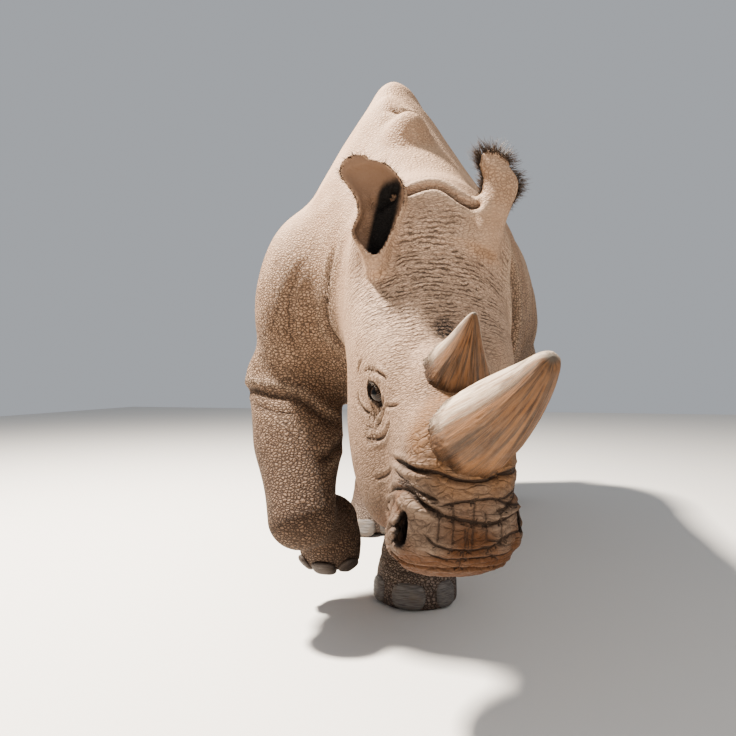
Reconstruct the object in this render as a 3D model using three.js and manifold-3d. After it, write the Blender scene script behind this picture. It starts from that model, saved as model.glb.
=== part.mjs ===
// White rhinoceros, life size, walking with its head lowered and turned a little to its left.
// It faces -Y, its left side is +X and it stands on z = 0. Sizes are in metres up to the last step, which
// turns them into millimetres. The flesh is one smooth form, a blend of ovals carried along limbs, trunk and
// head, parted into head, neck, trunk and legs by thin cuts. Ears, eyes, horns, tail and toenails are solids
// of their own.
import * as THREE from "three";
import { mergeVertices } from "three/addons/utils/BufferGeometryUtils.js";
import Module from "manifold-3d";

const wasm = await Module();
wasm.setup();

const MM = 1000;
const GAP = 0.0006; // clear space between two neighbouring solids
const CUT = 0.0004; // half width of a cut through the flesh

// Head: the place of the upper lip, and how the skull's long axis points.
const LIP = [0.335, -0.865, 0.362];
const NOSE_DOWN = 55.5; // degrees below level
const NOSE_LEFT = 17.5; // degrees turned to the animal's left
const HEAD_ROLL = 3.5; // degrees about the long axis

// Joints of the limbs.
const FORE_FOOT = [0.1, 0, 0];
const CARPUS = [-0.16, -0.38, 0.318];
const ELBOW = [-0.275, -0.13, 0.7];
const FETLOCK = [-0.15, -0.17, 0.27];
const TOE = [-0.148, -0.15, 0.15];
const HIND_LEFT = {
  foot: [0.24, 1.68, 0],
  hock: [0.25, 1.77, 0.44],
  stifle: [0.29, 1.5, 0.8],
  hip: [0.22, 1.54, 1.15],
};
const HIND_RIGHT = {
  foot: [-0.262, 0.82, 0],
  hock: [-0.275, 1.0, 0.42],
  stifle: [-0.32, 1.02, 0.8],
  hip: [-0.22, 1.48, 1.12],
};
const FORE_CUT = 0.56; // height at which a fore leg is parted from the shoulder
const HIND_RIGHT_CUT = 0.45;
const HIND_LEFT_CUT = 0.5;

const EYE_RADIUS = 0.027;
const EYE = [0.131, 0.373, 0.006]; // the left globe's centre in the head frame
const EAR_WALL = 0.01;
const DOWN = -0.02; // depth to which a standing foot is drawn before the floor cuts it flat

const vec = (a) => new THREE.Vector3(...a);

// Smooth curves through rows of stations (t, values...), as a fine table.
function fineTable(rows, samples = 160) {
  const n = rows.length;
  const slope = rows.map((row, i) => {
    const before = rows[Math.max(i - 1, 0)];
    const after = rows[Math.min(i + 1, n - 1)];
    const hb = row[0] - before[0];
    const ha = after[0] - row[0];
    return row.map((v, c) => {
      const db = hb ? (v - before[c]) / hb : 0;
      const da = ha ? (after[c] - v) / ha : 0;
      if (!hb) return da;
      if (!ha) return db;
      return (db * ha + da * hb) / (ha + hb);
    });
  });
  const table = [];
  for (let i = 0; i < samples; i++) {
    const t = rows[0][0] + ((rows[n - 1][0] - rows[0][0]) * i) / (samples - 1);
    let k = 0;
    while (k < n - 2 && t >= rows[k + 1][0]) k++;
    const h = rows[k + 1][0] - rows[k][0];
    const s = (t - rows[k][0]) / h;
    table.push(
      rows[k].map((a, c) => {
        const b = rows[k + 1][c];
        const ma = slope[k][c] * h;
        const mb = slope[k + 1][c] * h;
        const s2 = s * s;
        const s3 = s2 * s;
        return (2 * s3 - 3 * s2 + 1) * a + (s3 - 2 * s2 + s) * ma + (3 * s2 - 2 * s3) * b + (s3 - s2) * mb;
      }),
    );
  }
  return table;
}

function lookUp(table, t) {
  const last = table.length - 1;
  const span = table[last][0] - table[0][0];
  const at = Math.min(Math.max(((t - table[0][0]) / span) * last, 0), last);
  const k = Math.min(Math.floor(at), last - 1);
  return table[k].map((a, c) => a + (table[k + 1][c] - a) * (at - k));
}

// Distance from an oval of half widths a and b and power n, capped with radius c along its length.
function oval(u, v, w, a, b, c, n) {
  const x = Math.abs(u) / a;
  const y = Math.abs(v) / b;
  const z = w / c;
  const k = Math.pow(Math.pow(x, n) + Math.pow(y, n), 1 / n);
  const r = Math.hypot(k, z) + 1e-9;
  const f = Math.pow(k, 2 - n);
  const slope = Math.hypot((f * Math.pow(x, n - 1)) / a, (f * Math.pow(y, n - 1)) / b, z / c) / r + 1e-9;
  return (r - 1) / slope;
}

// Every shape is {at(point), box}: the distance from its surface, negative inside, and the box round it.
function ball(centre, radii, n = 2) {
  const c = vec(centre);
  const reach = Math.max(...radii);
  return {
    at: (p) => oval(p.x - c.x, p.z - c.z, p.y - c.y, radii[0], radii[2], radii[1], n),
    box: new THREE.Box3().setFromCenterAndSize(c, new THREE.Vector3(2 * reach, 2 * reach, 2 * reach)),
  };
}

// An oval carried along a straight axis.
// Stations are (distance, off side, off front, half side, half front, power).
function sweep(origin, axis, side, stations, caps, n = 2) {
  const o = vec(origin);
  const e = vec(axis).normalize();
  const u = vec(side).addScaledVector(e, -e.dot(vec(side))).normalize();
  const v = u.clone().cross(e);
  const table = fineTable(stations);
  const lo = stations[0][0];
  const hi = stations[stations.length - 1][0];
  const reach = Math.max(...table.map((r) => Math.max(Math.abs(r[1]) + r[3], Math.abs(r[2]) + r[4])));
  const box = new THREE.Box3()
    .expandByPoint(o.clone().addScaledVector(e, lo - caps[0]))
    .expandByPoint(o.clone().addScaledVector(e, hi + caps[1]))
    .expandByScalar(reach);
  const q = new THREE.Vector3();
  const at = (p) => {
    q.subVectors(p, o);
    const t = q.dot(e);
    const tc = Math.min(Math.max(t, lo), hi);
    const r = lookUp(table, tc);
    const cap = t > tc ? caps[1] : caps[0];
    return oval(q.dot(u) - r[1], q.dot(v) - r[2], t - tc, r[3], r[4], cap, r[5] ?? n);
  };
  return { at, box, o, e, u, v, table };
}

// A limb segment from one joint to the next; stations run from 0 to 1 along it.
function bone(from, to, stations, caps, side = [1, 0, 0]) {
  const axis = vec(to).sub(vec(from));
  const length = axis.length();
  return sweep(from, axis.toArray(), side, stations.map((r) => [r[0] * length, ...r.slice(1)]), caps);
}

// Trunk stations given by their top and bottom edges: (y, top, bottom, half width, lean, power).
const byEdges = (rows) =>
  rows.map(([y, top, bottom, half, lean = 0, n = 2]) => {
    return [y, lean, (top + bottom) / 2, half, (top - bottom) / 2, n];
  });

function smoothMin(a, b, k) {
  const h = Math.max(k - Math.abs(a - b), 0) / k;
  return Math.min(a, b) - (h * h * k) / 4;
}

// Shapes joined one after another, each with its own width of blend: steps are [blend, shape].
function form(steps, frame = null) {
  const local = new THREE.Box3();
  steps.forEach(([, s]) => local.union(s.box));
  const back = frame ? frame.clone().invert() : null;
  const box = frame ? local.clone().applyMatrix4(frame) : local;
  const q = new THREE.Vector3();
  const at = (p) => {
    q.copy(p);
    if (back) q.applyMatrix4(back);
    let d = 9;
    for (const [k, s] of steps) if (s.box.distanceToPoint(q) < d + k) d = smoothMin(d, s.at(q.clone()), k);
    return d;
  };
  return { at, box };
}

// Head frame: x is the animal's left, y runs back along the skull and z is up through the horns.
function headFrame() {
  const rad = THREE.MathUtils.degToRad;
  const back = new THREE.Vector3(
    -Math.sin(rad(NOSE_LEFT)) * Math.cos(rad(NOSE_DOWN)),
    Math.cos(rad(NOSE_LEFT)) * Math.cos(rad(NOSE_DOWN)),
    Math.sin(rad(NOSE_DOWN)),
  );
  const up = new THREE.Vector3(0, 0, 1).addScaledVector(back, -back.z).normalize();
  const across = back.clone().cross(up);
  const roll = rad(HEAD_ROLL);
  const dorsal = up.multiplyScalar(Math.cos(roll)).addScaledVector(across, Math.sin(roll));
  const left = back.clone().cross(dorsal);
  return new THREE.Matrix4().makeBasis(left, back, dorsal).setPosition(...LIP);
}
const HEAD = headFrame();
const inHead = (a) => vec(a).applyMatrix4(HEAD).toArray();
const bothSides = (k, x, y, z, radii) => [1, -1].map((s) => [k, ball([s * x, y, z], radii)]);

// Flesh.
const trunkShape = sweep([0, 0, 0], [0, 1, 0], [1, 0, 0], byEdges([
  [-0.14, 1.3, 0.66, 0.32, 0.03],
  [0.1, 1.42, 0.59, 0.395, 0.02],
  [0.35, 1.47, 0.53, 0.45, 0.01],
  [0.7, 1.46, 0.47, 0.485],
  [1.05, 1.48, 0.49, 0.475],
  [1.35, 1.52, 0.56, 0.44],
  [1.58, 1.5, 0.66, 0.38],
  [1.74, 1.4, 0.78, 0.31],
]), [0.18, 0.18]);
const hump = sweep([0, 0, 0], [0, 1, 0], [1, 0, 0], [
  [-0.18, 0.045, 1.13, 0.235, 0.437],
  [-0.06, 0.03, 1.17, 0.275, 0.509],
  [0.12, 0.015, 1.18, 0.3, 0.499],
  [0.38, 0.01, 1.14, 0.3, 0.425],
], [0.14, 0.42], 1.35);
const neckShape = bone([0.03, 0.05, 1.04], [0.205, -0.45, 0.92], [
  [0, 0, 0, 0.33, 0.4],
  [0.5, 0, -0.01, 0.28, 0.35],
  [1, 0, -0.01, 0.2, 0.27],
], [0.1, 0.1]);
const nape = bone([0.045, -0.06, 1.43], [0.215, -0.46, 1.06], [
  [0, 0, 0, 0.115, 0.17],
  [0.5, 0, 0, 0.13, 0.14],
  [1, 0, 0, 0.145, 0.11],
], [0.1, 0.08]);
const leftShoulder = ball([0.27, 0.02, 0.93], [0.175, 0.28, 0.33]);
const rightShoulder = ball([-0.235, -0.06, 0.92], [0.17, 0.29, 0.33]);
const crest = ball([0.035, -0.02, 1.6], [0.062, 0.13, 0.068]);
const bodySteps = [
  [0.01, trunkShape],
  [0.08, hump],
  [0.04, crest],
  [0.12, neckShape],
  [0.06, nape],
  [0.08, leftShoulder],
  [0.08, rightShoulder],
];

const foreLeftSteps = [
  [0.05, sweep(FORE_FOOT, [0, 0, 1], [1, 0, 0], [
    [DOWN - 0.01, 0, 0.015, 0.126, 0.13],
    [0.05, 0, 0.02, 0.131, 0.138],
    [0.12, 0, 0.012, 0.12, 0.128],
    [0.2, 0, 0, 0.106, 0.112],
    [0.3, 0.01, 0, 0.106, 0.114],
    [0.4, 0.025, 0, 0.117, 0.128],
    [0.52, 0.055, -0.02, 0.13, 0.155],
    [0.65, 0.095, -0.05, 0.148, 0.195],
    [0.8, 0.14, -0.06, 0.165, 0.22],
  ], [0.02, 0.15])],
];
const foreRightSteps = [
  [0.04, bone(CARPUS, ELBOW, [
    [0, 0, 0, 0.094, 0.088],
    [0.2, 0, 0, 0.104, 0.096],
    [0.5, 0, 0, 0.134, 0.124],
    [0.8, 0, 0, 0.142, 0.15],
    [1, 0, 0, 0.155, 0.175],
  ], [0.085, 0.12])],
  [0.018, bone(FETLOCK, CARPUS, [
    [0, 0, 0, 0.08, 0.075],
    [0.5, 0, 0, 0.08, 0.078],
    [1, 0, 0, 0.084, 0.08],
  ], [0.06, 0.07])],
  [0.02, bone(TOE, FETLOCK, [
    [0, 0, 0, 0.092, 0.08],
    [0.4, 0, 0, 0.098, 0.094],
    [1, 0, 0, 0.088, 0.082],
  ], [0.03, 0.07])],
];
const hindSteps = ({ foot, hock, stifle, hip }) => [
  [0.05, bone(foot, hock, [
    [-0.06, 0, 0.02, 0.115, 0.128],
    [0.12, 0, 0.02, 0.12, 0.134],
    [0.3, 0, 0.01, 0.103, 0.112],
    [0.55, 0, 0, 0.094, 0.104],
    [1, 0, 0, 0.098, 0.122],
  ], [0.012, 0.09])],
  [0.06, bone(hock, stifle, [
    [0, 0, 0, 0.094, 0.115],
    [0.3, 0, 0.01, 0.11, 0.148],
    [0.7, 0, 0.02, 0.148, 0.205],
    [1, 0, 0, 0.17, 0.235],
  ], [0.07, 0.12])],
  [0.13, bone(stifle, hip, [
    [0, 0, -0.02, 0.175, 0.24],
    [0.5, 0, 0, 0.195, 0.31],
    [1, 0, 0, 0.185, 0.3],
  ], [0.15, 0.2])],
];
const hindLeftSteps = hindSteps(HIND_LEFT);
const hindRightSteps = hindSteps(HIND_RIGHT);

const headForm = form([
  [0.01, sweep([0, 0, 0], [0, 1, 0], [1, 0, 0], byEdges([
    [0.02, 0.085, -0.06, 0.094, -0.012, 3],
    [0.06, 0.115, -0.095, 0.11, -0.011, 3],
    [0.12, 0.145, -0.125, 0.112, -0.01, 2.8],
    [0.2, 0.15, -0.152, 0.113, -0.008, 2.6],
    [0.3, 0.135, -0.182, 0.132, -0.004, 2.4],
    [0.4, 0.12, -0.213, 0.142, 0, 2.3],
    [0.5, 0.112, -0.245, 0.156, 0, 2.3],
    [0.6, 0.115, -0.265, 0.168, 0, 2.3],
    [0.7, 0.13, -0.25, 0.16, 0, 2.3],
    [0.8, 0.14, -0.17, 0.14, 0, 2.2],
    [0.85, 0.13, -0.1, 0.12, 0, 2.2],
  ]), [0.02, 0.05])],
  [0.03, ball([-0.011, 0.06, -0.005], [0.12, 0.066, 0.085], 3.2)], // upper lip, drawn a little to the right
  [0.02, ball([-0.022, 0.097, -0.091], [0.096, 0.078, 0.042], 2.6)], // lower lip
  [0.012, ball([-0.121, 0.05, 0.034], [0.016, 0.04, 0.034])], // wings of the nostrils
  [0.012, ball([0.097, 0.05, 0.034], [0.016, 0.04, 0.034])],
  [0.03, ball([-0.003, 0.185, 0.1], [0.1, 0.115, 0.085])], // seat of the front horn
  [0.03, ball([0, 0.34, 0.1], [0.085, 0.09, 0.055])], // seat of the rear horn
  [0.05, ball([0, 0.8, 0.105], [0.12, 0.08, 0.05])], // poll
  ...bothSides(0.05, 0.1, 0.42, 0.045, [0.045, 0.08, 0.045]), // brow
  ...bothSides(0.06, 0.122, 0.53, -0.04, [0.064, 0.15, 0.09]), // cheek bone
  ...bothSides(0.05, 0.116, 0.42, -0.13, [0.08, 0.29, 0.105]), // jaw
  ...bothSides(0.04, 0.118, 0.78, 0.07, [0.05, 0.06, 0.05]), // root of the ear
], HEAD);

const whole = (steps) => form([[0.01, form([...bodySteps, ...steps])], [0.09, headForm]]);
const allForm = whole([...foreLeftSteps, ...foreRightSteps, ...hindLeftSteps, ...hindRightSteps]);

// A closed solid from vertex and triangle lists.
function solidOf(vertices, triangles) {
  const g = new THREE.BufferGeometry();
  const numbers = new Float32Array(vertices.flatMap((p) => [p.x * MM, p.y * MM, p.z * MM]));
  g.setAttribute("position", new THREE.BufferAttribute(numbers, 3));
  g.setIndex(triangles.flat());
  return manifoldOf(g);
}

function manifoldOf(geometry) {
  const g = geometry.clone();
  g.deleteAttribute("normal");
  g.deleteAttribute("uv");
  const merged = mergeVertices(g, 1e-3);
  const vertProperties = merged.attributes.position.array;
  const triVerts = new Uint32Array(merged.index.array);
  return new wasm.Manifold(new wasm.Mesh({ numProp: 3, vertProperties, triVerts }));
}

// The way a form's distance grows fastest at a point.
function slopeAt(shape, p) {
  const h = 0.0015;
  const step = (x, y, z) => shape.at(new THREE.Vector3(p.x + x, p.y + y, p.z + z));
  const rise = (x, y, z) => (step(x, y, z) - step(-x, -y, -z)) / (2 * h);
  return new THREE.Vector3(rise(h, 0, 0), rise(0, h, 0), rise(0, 0, h));
}

// The surface of a form as a mesh on a lattice: one vertex in every cell that the surface crosses, drawn on
// to it. The outermost points count as outside, so the surface always closes. grow moves it outwards.
function fleshSolid(shape, lo, hi, cell, grow = 0) {
  const count = lo.map((a, i) => Math.ceil((hi[i] - a) / cell[i]) + 1);
  const [nx, ny, nz] = count;
  const index = (i, j, k) => (i * ny + j) * nz + k;
  const place = (i, j, k) => new THREE.Vector3(lo[0] + i * cell[0], lo[1] + j * cell[1], lo[2] + k * cell[2]);
  const value = new Float32Array(nx * ny * nz).fill(1);
  for (let i = 1; i < nx - 1; i++)
    for (let j = 1; j < ny - 1; j++)
      for (let k = 1; k < nz - 1; k++) value[index(i, j, k)] = shape.at(place(i, j, k));
  const corners = [];
  for (let a = 0; a < 8; a++) corners.push([a & 1, (a >> 1) & 1, (a >> 2) & 1]);
  const edges = [];
  for (let a = 0; a < 8; a++)
    for (const bit of [1, 2, 4]) if (!(a & bit)) edges.push([a, a | bit]);
  const linked = (mask) => {
    let seen = mask & -mask;
    for (let before = 0; before !== seen; ) {
      before = seen;
      for (const [a, b] of edges) {
        const both = (1 << a) | (1 << b);
        if ((mask & both) === both && seen & both) seen |= both;
      }
    }
    return seen === mask;
  };
  const chequered = (mask) =>
    [1, 2, 4].some((bit) => [0, bit].some((side) => {
      const face = corners.map((_, a) => a).filter((a) => (a & bit) === side);
      const [a, b, c, d] = face.map((n) => (mask >> n) & 1);
      return a === d && b === c && a !== b;
    }));
  const clean = Array.from({ length: 256 }, (_, m) => linked(m) && linked(255 - m) && !chequered(m));
  // A cell in which two sheets of skin would touch is filled in.
  for (let dirty = true; dirty; ) {
    dirty = false;
    for (let i = 1; i < nx - 2; i++)
      for (let j = 1; j < ny - 2; j++)
        for (let k = 1; k < nz - 2; k++) {
          const at = corners.map(([a, b, c]) => index(i + a, j + b, k + c));
          const mask = at.reduce((m, n, a) => m | (value[n] < 0 ? 1 << a : 0), 0);
          if (clean[mask]) continue;
          at.forEach((n) => (value[n] = Math.min(value[n], -0.2 * cell[0])));
          dirty = true;
        }
  }
  const vertexOf = new Map();
  const vertices = [];
  for (let i = 0; i < nx - 1; i++)
    for (let j = 0; j < ny - 1; j++)
      for (let k = 0; k < nz - 1; k++) {
        const f = corners.map(([a, b, c]) => value[index(i + a, j + b, k + c)]);
        const crossed = edges.filter(([a, b]) => f[a] < 0 !== f[b] < 0);
        if (!crossed.length) continue;
        const sum = new THREE.Vector3();
        crossed.forEach(([a, b]) => {
          const t = f[a] / (f[a] - f[b]);
          sum.add(new THREE.Vector3(...corners[a].map((c, n) => c + (corners[b][n] - c) * t)));
        });
        sum.divideScalar(crossed.length);
        vertexOf.set(index(i, j, k), vertices.length);
        vertices.push(place(i + sum.x, j + sum.y, k + sum.z));
      }
  const quads = [];
  const step = [[1, 0, 0], [0, 1, 0], [0, 0, 1]];
  for (let i = 1; i < nx - 1; i++)
    for (let j = 1; j < ny - 1; j++)
      for (let k = 1; k < nz - 1; k++)
        for (let ax = 0; ax < 3; ax++) {
          const [di, dj, dk] = step[ax];
          for (const back of [0, 1]) {
            if (back && [i, j, k][ax] !== 1) continue;
            const p = back ? [i - di, j - dj, k - dk] : [i, j, k];
            const a = value[index(...p)] < 0;
            const b = value[index(p[0] + di, p[1] + dj, p[2] + dk)] < 0;
            if (a === b) continue;
            const u = step[(ax + 1) % 3];
            const w = step[(ax + 2) % 3];
            const ring = [[1, 1], [0, 1], [0, 0], [1, 0]].map(([m, n]) =>
              vertexOf.get(index(...p.map((a, c) => a - m * u[c] - n * w[c]))));
            quads.push(a ? ring : ring.reverse());
          }
        }
  const near = Math.min(...cell);
  const beside = vertices.map(() => new Set());
  quads.forEach((q) => q.forEach((a, n) => {
    beside[a].add(q[(n + 1) % 4]);
    beside[q[(n + 1) % 4]].add(a);
  }));
  for (let round = 0; round < 4; round++) {
    const means = vertices.map((p, n) => {
      const mean = new THREE.Vector3();
      beside[n].forEach((m) => mean.add(vertices[m]));
      return mean.divideScalar(beside[n].size).sub(p).multiplyScalar(round < 3 ? 0.35 : 0);
    });
    vertices.forEach((p, n) => {
      if (Math.abs(shape.at(p)) > near) return;
      const normal = slopeAt(shape, p).normalize();
      p.add(means[n].addScaledVector(normal, -means[n].dot(normal)));
      for (let pass = 0; pass < 2; pass++) {
        const slope = slopeAt(shape, p);
        const size = slope.length() + 1e-6;
        p.addScaledVector(slope, -THREE.MathUtils.clamp(shape.at(p) / size, -near / 3, near / 3) / size);
      }
    });
  }
  vertices.forEach((p) => {
    if (grow && Math.abs(shape.at(p)) < near) p.addScaledVector(slopeAt(shape, p).normalize(), grow);
  });
  const triangles = quads.flatMap(([a, b, c, d]) => {
    const short = vertices[a].distanceTo(vertices[c]) < vertices[b].distanceTo(vertices[d]);
    return short ? [[a, b, c], [a, c, d]] : [[a, b, d], [b, c, d]];
  });
  return solidOf(vertices, triangles);
}

// Everything on the near side of a plane through a point, as a large block.
function behind(point, normal) {
  const n = vec(normal).normalize();
  const g = new THREE.BoxGeometry(8 * MM, 8 * MM, 8 * MM).translate(0, 0, -4 * MM);
  g.applyQuaternion(new THREE.Quaternion().setFromUnitVectors(new THREE.Vector3(0, 0, 1), n));
  const at = vec(point).addScaledVector(n, -CUT);
  return manifoldOf(g.translate(at.x * MM, at.y * MM, at.z * MM));
}

function block(lo, hi) {
  const size = lo.map((a, i) => (hi[i] - a) * MM);
  const mid = lo.map((a, i) => ((a + hi[i]) / 2) * MM);
  return manifoldOf(new THREE.BoxGeometry(...size).translate(...mid));
}

// The largest body of a solid.
const mainBody = (solid) => solid.decompose().reduce((a, b) => (b.volume() > a.volume() ? b : a));

// Closed skin round a row of loops, with a fan on each end.
function loftSolid(loops) {
  const n = loops[0].length;
  const vertices = loops.flat();
  const triangles = [];
  for (let r = 0; r < loops.length - 1; r++)
    for (let i = 0; i < n; i++) {
      const a = r * n + i;
      const b = r * n + ((i + 1) % n);
      triangles.push([a, b, b + n], [a, b + n, a + n]);
    }
  [0, loops.length - 1].forEach((r) => {
    THREE.ShapeUtils.triangulateShape(flatten(loops[r]), []).forEach(([a, b, c]) => {
      const t = [r * n + a, r * n + b, r * n + c];
      triangles.push(r ? t : t.reverse());
    });
  });
  const solid = solidOf(vertices, triangles);
  return solid.volume() > 0 ? solid : solidOf(vertices, triangles.map((t) => [...t].reverse()));
}

// A flat loop in space as points of its own plane, for its end cap.
function flatten(ring) {
  const u = ring[1].clone().sub(ring[0]).normalize();
  const normal = new THREE.Vector3();
  ring.forEach((p, i) => normal.add(p.clone().cross(ring[(i + 1) % ring.length])));
  normal.normalize();
  const v = normal.clone().cross(u);
  return ring.map((p) => new THREE.Vector2(p.dot(u), p.dot(v)));
}

// Horns: ovals in the head frame, (back, height, half side, half along the skull, tilt in degrees).
function horn(rows, sides) {
  const table = fineTable(rows.map((r, i) => [i, ...r]), 7);
  const loops = table.map(([, back, height, side, along, tilt]) => {
    const t = THREE.MathUtils.degToRad(tilt);
    return Array.from({ length: sides }, (_, i) => {
      const a = (2 * Math.PI * i) / sides;
      const s = Math.sin(a) * along;
      return vec(inHead([Math.cos(a) * side, back + s * Math.cos(t), height + s * Math.sin(t)]));
    });
  });
  return loftSolid(loops);
}

const FRONT_HORN = [
  [0.196, 0.12, 0.08, 0.084, 2],
  [0.18, 0.175, 0.073, 0.078, 8],
  [0.15, 0.265, 0.062, 0.07, 15],
  [0.117, 0.375, 0.044, 0.052, 17],
  [0.096, 0.462, 0.029, 0.034, 12],
  [0.087, 0.518, 0.017, 0.019, 5],
  [0.086, 0.536, 0.007, 0.007, 5],
];
const REAR_HORN = [
  [0.345, 0.115, 0.074, 0.082, 0],
  [0.345, 0.16, 0.056, 0.064, 0],
  [0.35, 0.21, 0.036, 0.042, 0],
  [0.358, 0.26, 0.018, 0.022, 0],
  [0.364, 0.292, 0.006, 0.007, 0],
];

// Ears: a wall bent into a spoon, closed to a tube at the root. Rows are (distance, off side, off front, half
// side, half front), and the opening's are (distance, how far to the front the wall reaches).
const EAR_LEFT = {
  root: [0.35, -0.53, 1.045],
  along: [0.3, 0.19, 0.92],
  side: [-0.85, -0.42, 0.36],
  rows: [
    [-0.03, 0, 0, 0.046, 0.038],
    [0.02, 0, 0, 0.04, 0.038],
    [0.06, 0, 0, 0.035, 0.038],
    [0.1, 0, 0, 0.036, 0.04],
    [0.135, 0.004, 0, 0.042, 0.038],
    [0.16, 0.018, 0, 0.048, 0.032],
    [0.18, 0.034, 0, 0.036, 0.022],
    [0.198, 0.038, 0, 0.02, 0.014],
  ],
  opening: [
    [-0.03, 0.037],
    [0.03, 0.036],
    [0.06, 0.02],
    [0.1, -0.002],
    [0.24, -0.012],
  ],
};
const EAR_RIGHT = {
  root: [0.13, -0.61, 0.988],
  along: [-0.178, -0.183, 0.967],
  side: [0.96, 0.1, 0.2],
  rows: [
    [-0.02, 0, 0, 0.024, 0.03],
    [0.03, -0.002, 0, 0.038, 0.04],
    [0.08, -0.008, 0, 0.058, 0.047],
    [0.115, 0.005, 0, 0.059, 0.048],
    [0.15, -0.001, 0, 0.065, 0.045],
    [0.19, -0.011, 0, 0.065, 0.038],
    [0.22, -0.022, 0, 0.056, 0.03],
    [0.243, -0.035, 0, 0.035, 0.02],
    [0.262, -0.038, 0, 0.018, 0.013],
  ],
  opening: [
    [-0.02, 0.029],
    [0.02, 0.034],
    [0.06, 0.014],
    [0.1, 0],
    [0.16, -0.01],
    [0.27, -0.014],
  ],
};
const EAR_LOOPS = 8;
function ear({ root, along, side, rows, opening }) {
  const s = sweep(root, along, side, rows, [0.01, 0.01]);
  const reachAt = (t) => {
    const k = opening.findIndex((r) => r[0] >= t);
    const [t0, v0] = opening[Math.max(k - 1, 0)];
    const [t1, v1] = opening[k];
    return t1 > t0 ? v0 + ((v1 - v0) * (t - t0)) / (t1 - t0) : v1;
  };
  const loops = [];
  for (let r = 0; r < EAR_LOOPS; r++) {
    const t = THREE.MathUtils.lerp(rows[0][0], rows[rows.length - 1][0], r / (EAR_LOOPS - 1));
    const [, offU, offV, halfU, halfV] = lookUp(s.table, t);
    const reach = Math.min(Math.acos(THREE.MathUtils.clamp(-reachAt(t) / halfV, -1, 1)), 2.85);
    const arc = (wall, sign) =>
      Array.from({ length: 9 }, (_, i) => {
        const a = sign * reach * (i / 4 - 1);
        return s.o.clone()
          .addScaledVector(s.e, t)
          .addScaledVector(s.u, offU + Math.sin(a) * (halfU + wall))
          .addScaledVector(s.v, offV - Math.cos(a) * (halfV + wall));
      });
    loops.push([...arc(EAR_WALL / 2, 1), ...arc(-EAR_WALL / 2, -1)]);
  }
  return loftSolid(loops);
}

// A toenail: an egg-shaped plate set into the surface of a foot, thin along the way it faces.
function nail(foot, guess, up, width, height, thickness, grow = 0) {
  const p = vec(guess);
  for (let pass = 0; pass < 8; pass++) {
    const slope = slopeAt(foot, p);
    p.addScaledVector(slope, -foot.at(p) / slope.lengthSq());
  }
  const facing = slopeAt(foot, p).normalize();
  const across = facing.clone().cross(vec(up)).normalize();
  const top = across.clone().cross(facing);
  p.addScaledVector(facing, -0.45 * thickness);
  const g = new THREE.SphereGeometry(1, 8, 5);
  g.applyMatrix4(new THREE.Matrix4().makeScale(width + grow, thickness + grow, height + grow));
  g.applyMatrix4(new THREE.Matrix4().makeBasis(across, facing, top).setPosition(p));
  g.scale(MM, MM, MM);
  return manifoldOf(g);
}

// Three nails round the front of a foot: the middle one is the widest.
const NAILS = [["inner", -1], ["middle", 0], ["outer", 1]];
const standingNails = ([x, y], outward) =>
  NAILS.map(([word, turn]) => {
    const a = THREE.MathUtils.degToRad(56 * turn * outward);
    const at = [x + Math.sin(a) * 0.13, y - 0.02 - Math.cos(a) * 0.14, 0.045];
    return { word, args: [at, [0, 0, 1], turn ? 0.038 : 0.052, 0.04, 0.018] };
  });
const hangingNails = ([x, y, z], outward) =>
  NAILS.map(([word, turn]) => {
    const a = THREE.MathUtils.degToRad(66 * turn * outward);
    const at = [x + Math.sin(a) * 0.09, y - 0.03 - Math.cos(a) * 0.05, z - 0.03];
    return { word, args: [at, [0, -1, 0], turn ? 0.03 : 0.038, 0.034, 0.016] };
  });

// The planes that part head from neck and neck from trunk, and the blocks of space that hold the legs.
const HEAD_CUT = {
  point: inHead([0, 0.9, 0.16]),
  normal: vec(inHead([0, 0.89, -0.456])).sub(vec(LIP)).toArray(),
};
const NECK_CUT = { point: [0.08, -0.22, 1.05], normal: [0.322, -0.921, -0.221] };
const reversed = (a) => a.map((v) => -v);
const LEGS = {
  leg_fore_left: { lo: [-0.06, -0.3, 0], hi: [0.62, 0.19, FORE_CUT], steps: foreLeftSteps },
  leg_fore_right: { lo: [-0.62, -0.62, 0], hi: [-0.062, 0.07, FORE_CUT], steps: foreRightSteps },
  leg_hind_left: { lo: [0.02, 1.2, 0], hi: [0.62, 2.15, HIND_LEFT_CUT], steps: hindLeftSteps },
  leg_hind_right: { lo: [-0.62, 0.5, 0], hi: [-0.04, 1.4, HIND_RIGHT_CUT], steps: hindRightSteps },
};
const withoutLegs = (solid) =>
  Object.values(LEGS).reduce((s, { lo, hi }) => {
    const floor = lo.map((v, i) => (i === 2 ? -1 : v - 2 * CUT));
    return s.subtract(block(floor, hi.map((v) => v + 2 * CUT)));
  }, solid);

const bodies = {};
const headFlesh = (grow) =>
  fleshSolid(allForm, [-0.25, -1.06, 0.16], [0.62, -0.1, 1.36], [0.041, 0.04, 0.04], grow);
bodies.head = mainBody(withoutLegs(headFlesh(0).intersect(behind(HEAD_CUT.point, HEAD_CUT.normal))));
const headKeepOut = headFlesh(GAP);
bodies.neck = mainBody(
  withoutLegs(
    fleshSolid(allForm, [-0.62, -0.95, 0.3], [0.66, 0.25, 1.85], [0.076, 0.074, 0.077])
      .intersect(behind(HEAD_CUT.point, reversed(HEAD_CUT.normal)))
      .intersect(behind(NECK_CUT.point, reversed(NECK_CUT.normal))),
  ),
);
const trunkFlesh = (grow) =>
  fleshSolid(allForm, [-0.64, -0.55, 0.3], [0.64, 2.15, 1.8], [0.087, 0.145, 0.0925], grow);
bodies.trunk = mainBody(withoutLegs(trunkFlesh(0).intersect(behind(NECK_CUT.point, NECK_CUT.normal))));
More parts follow.
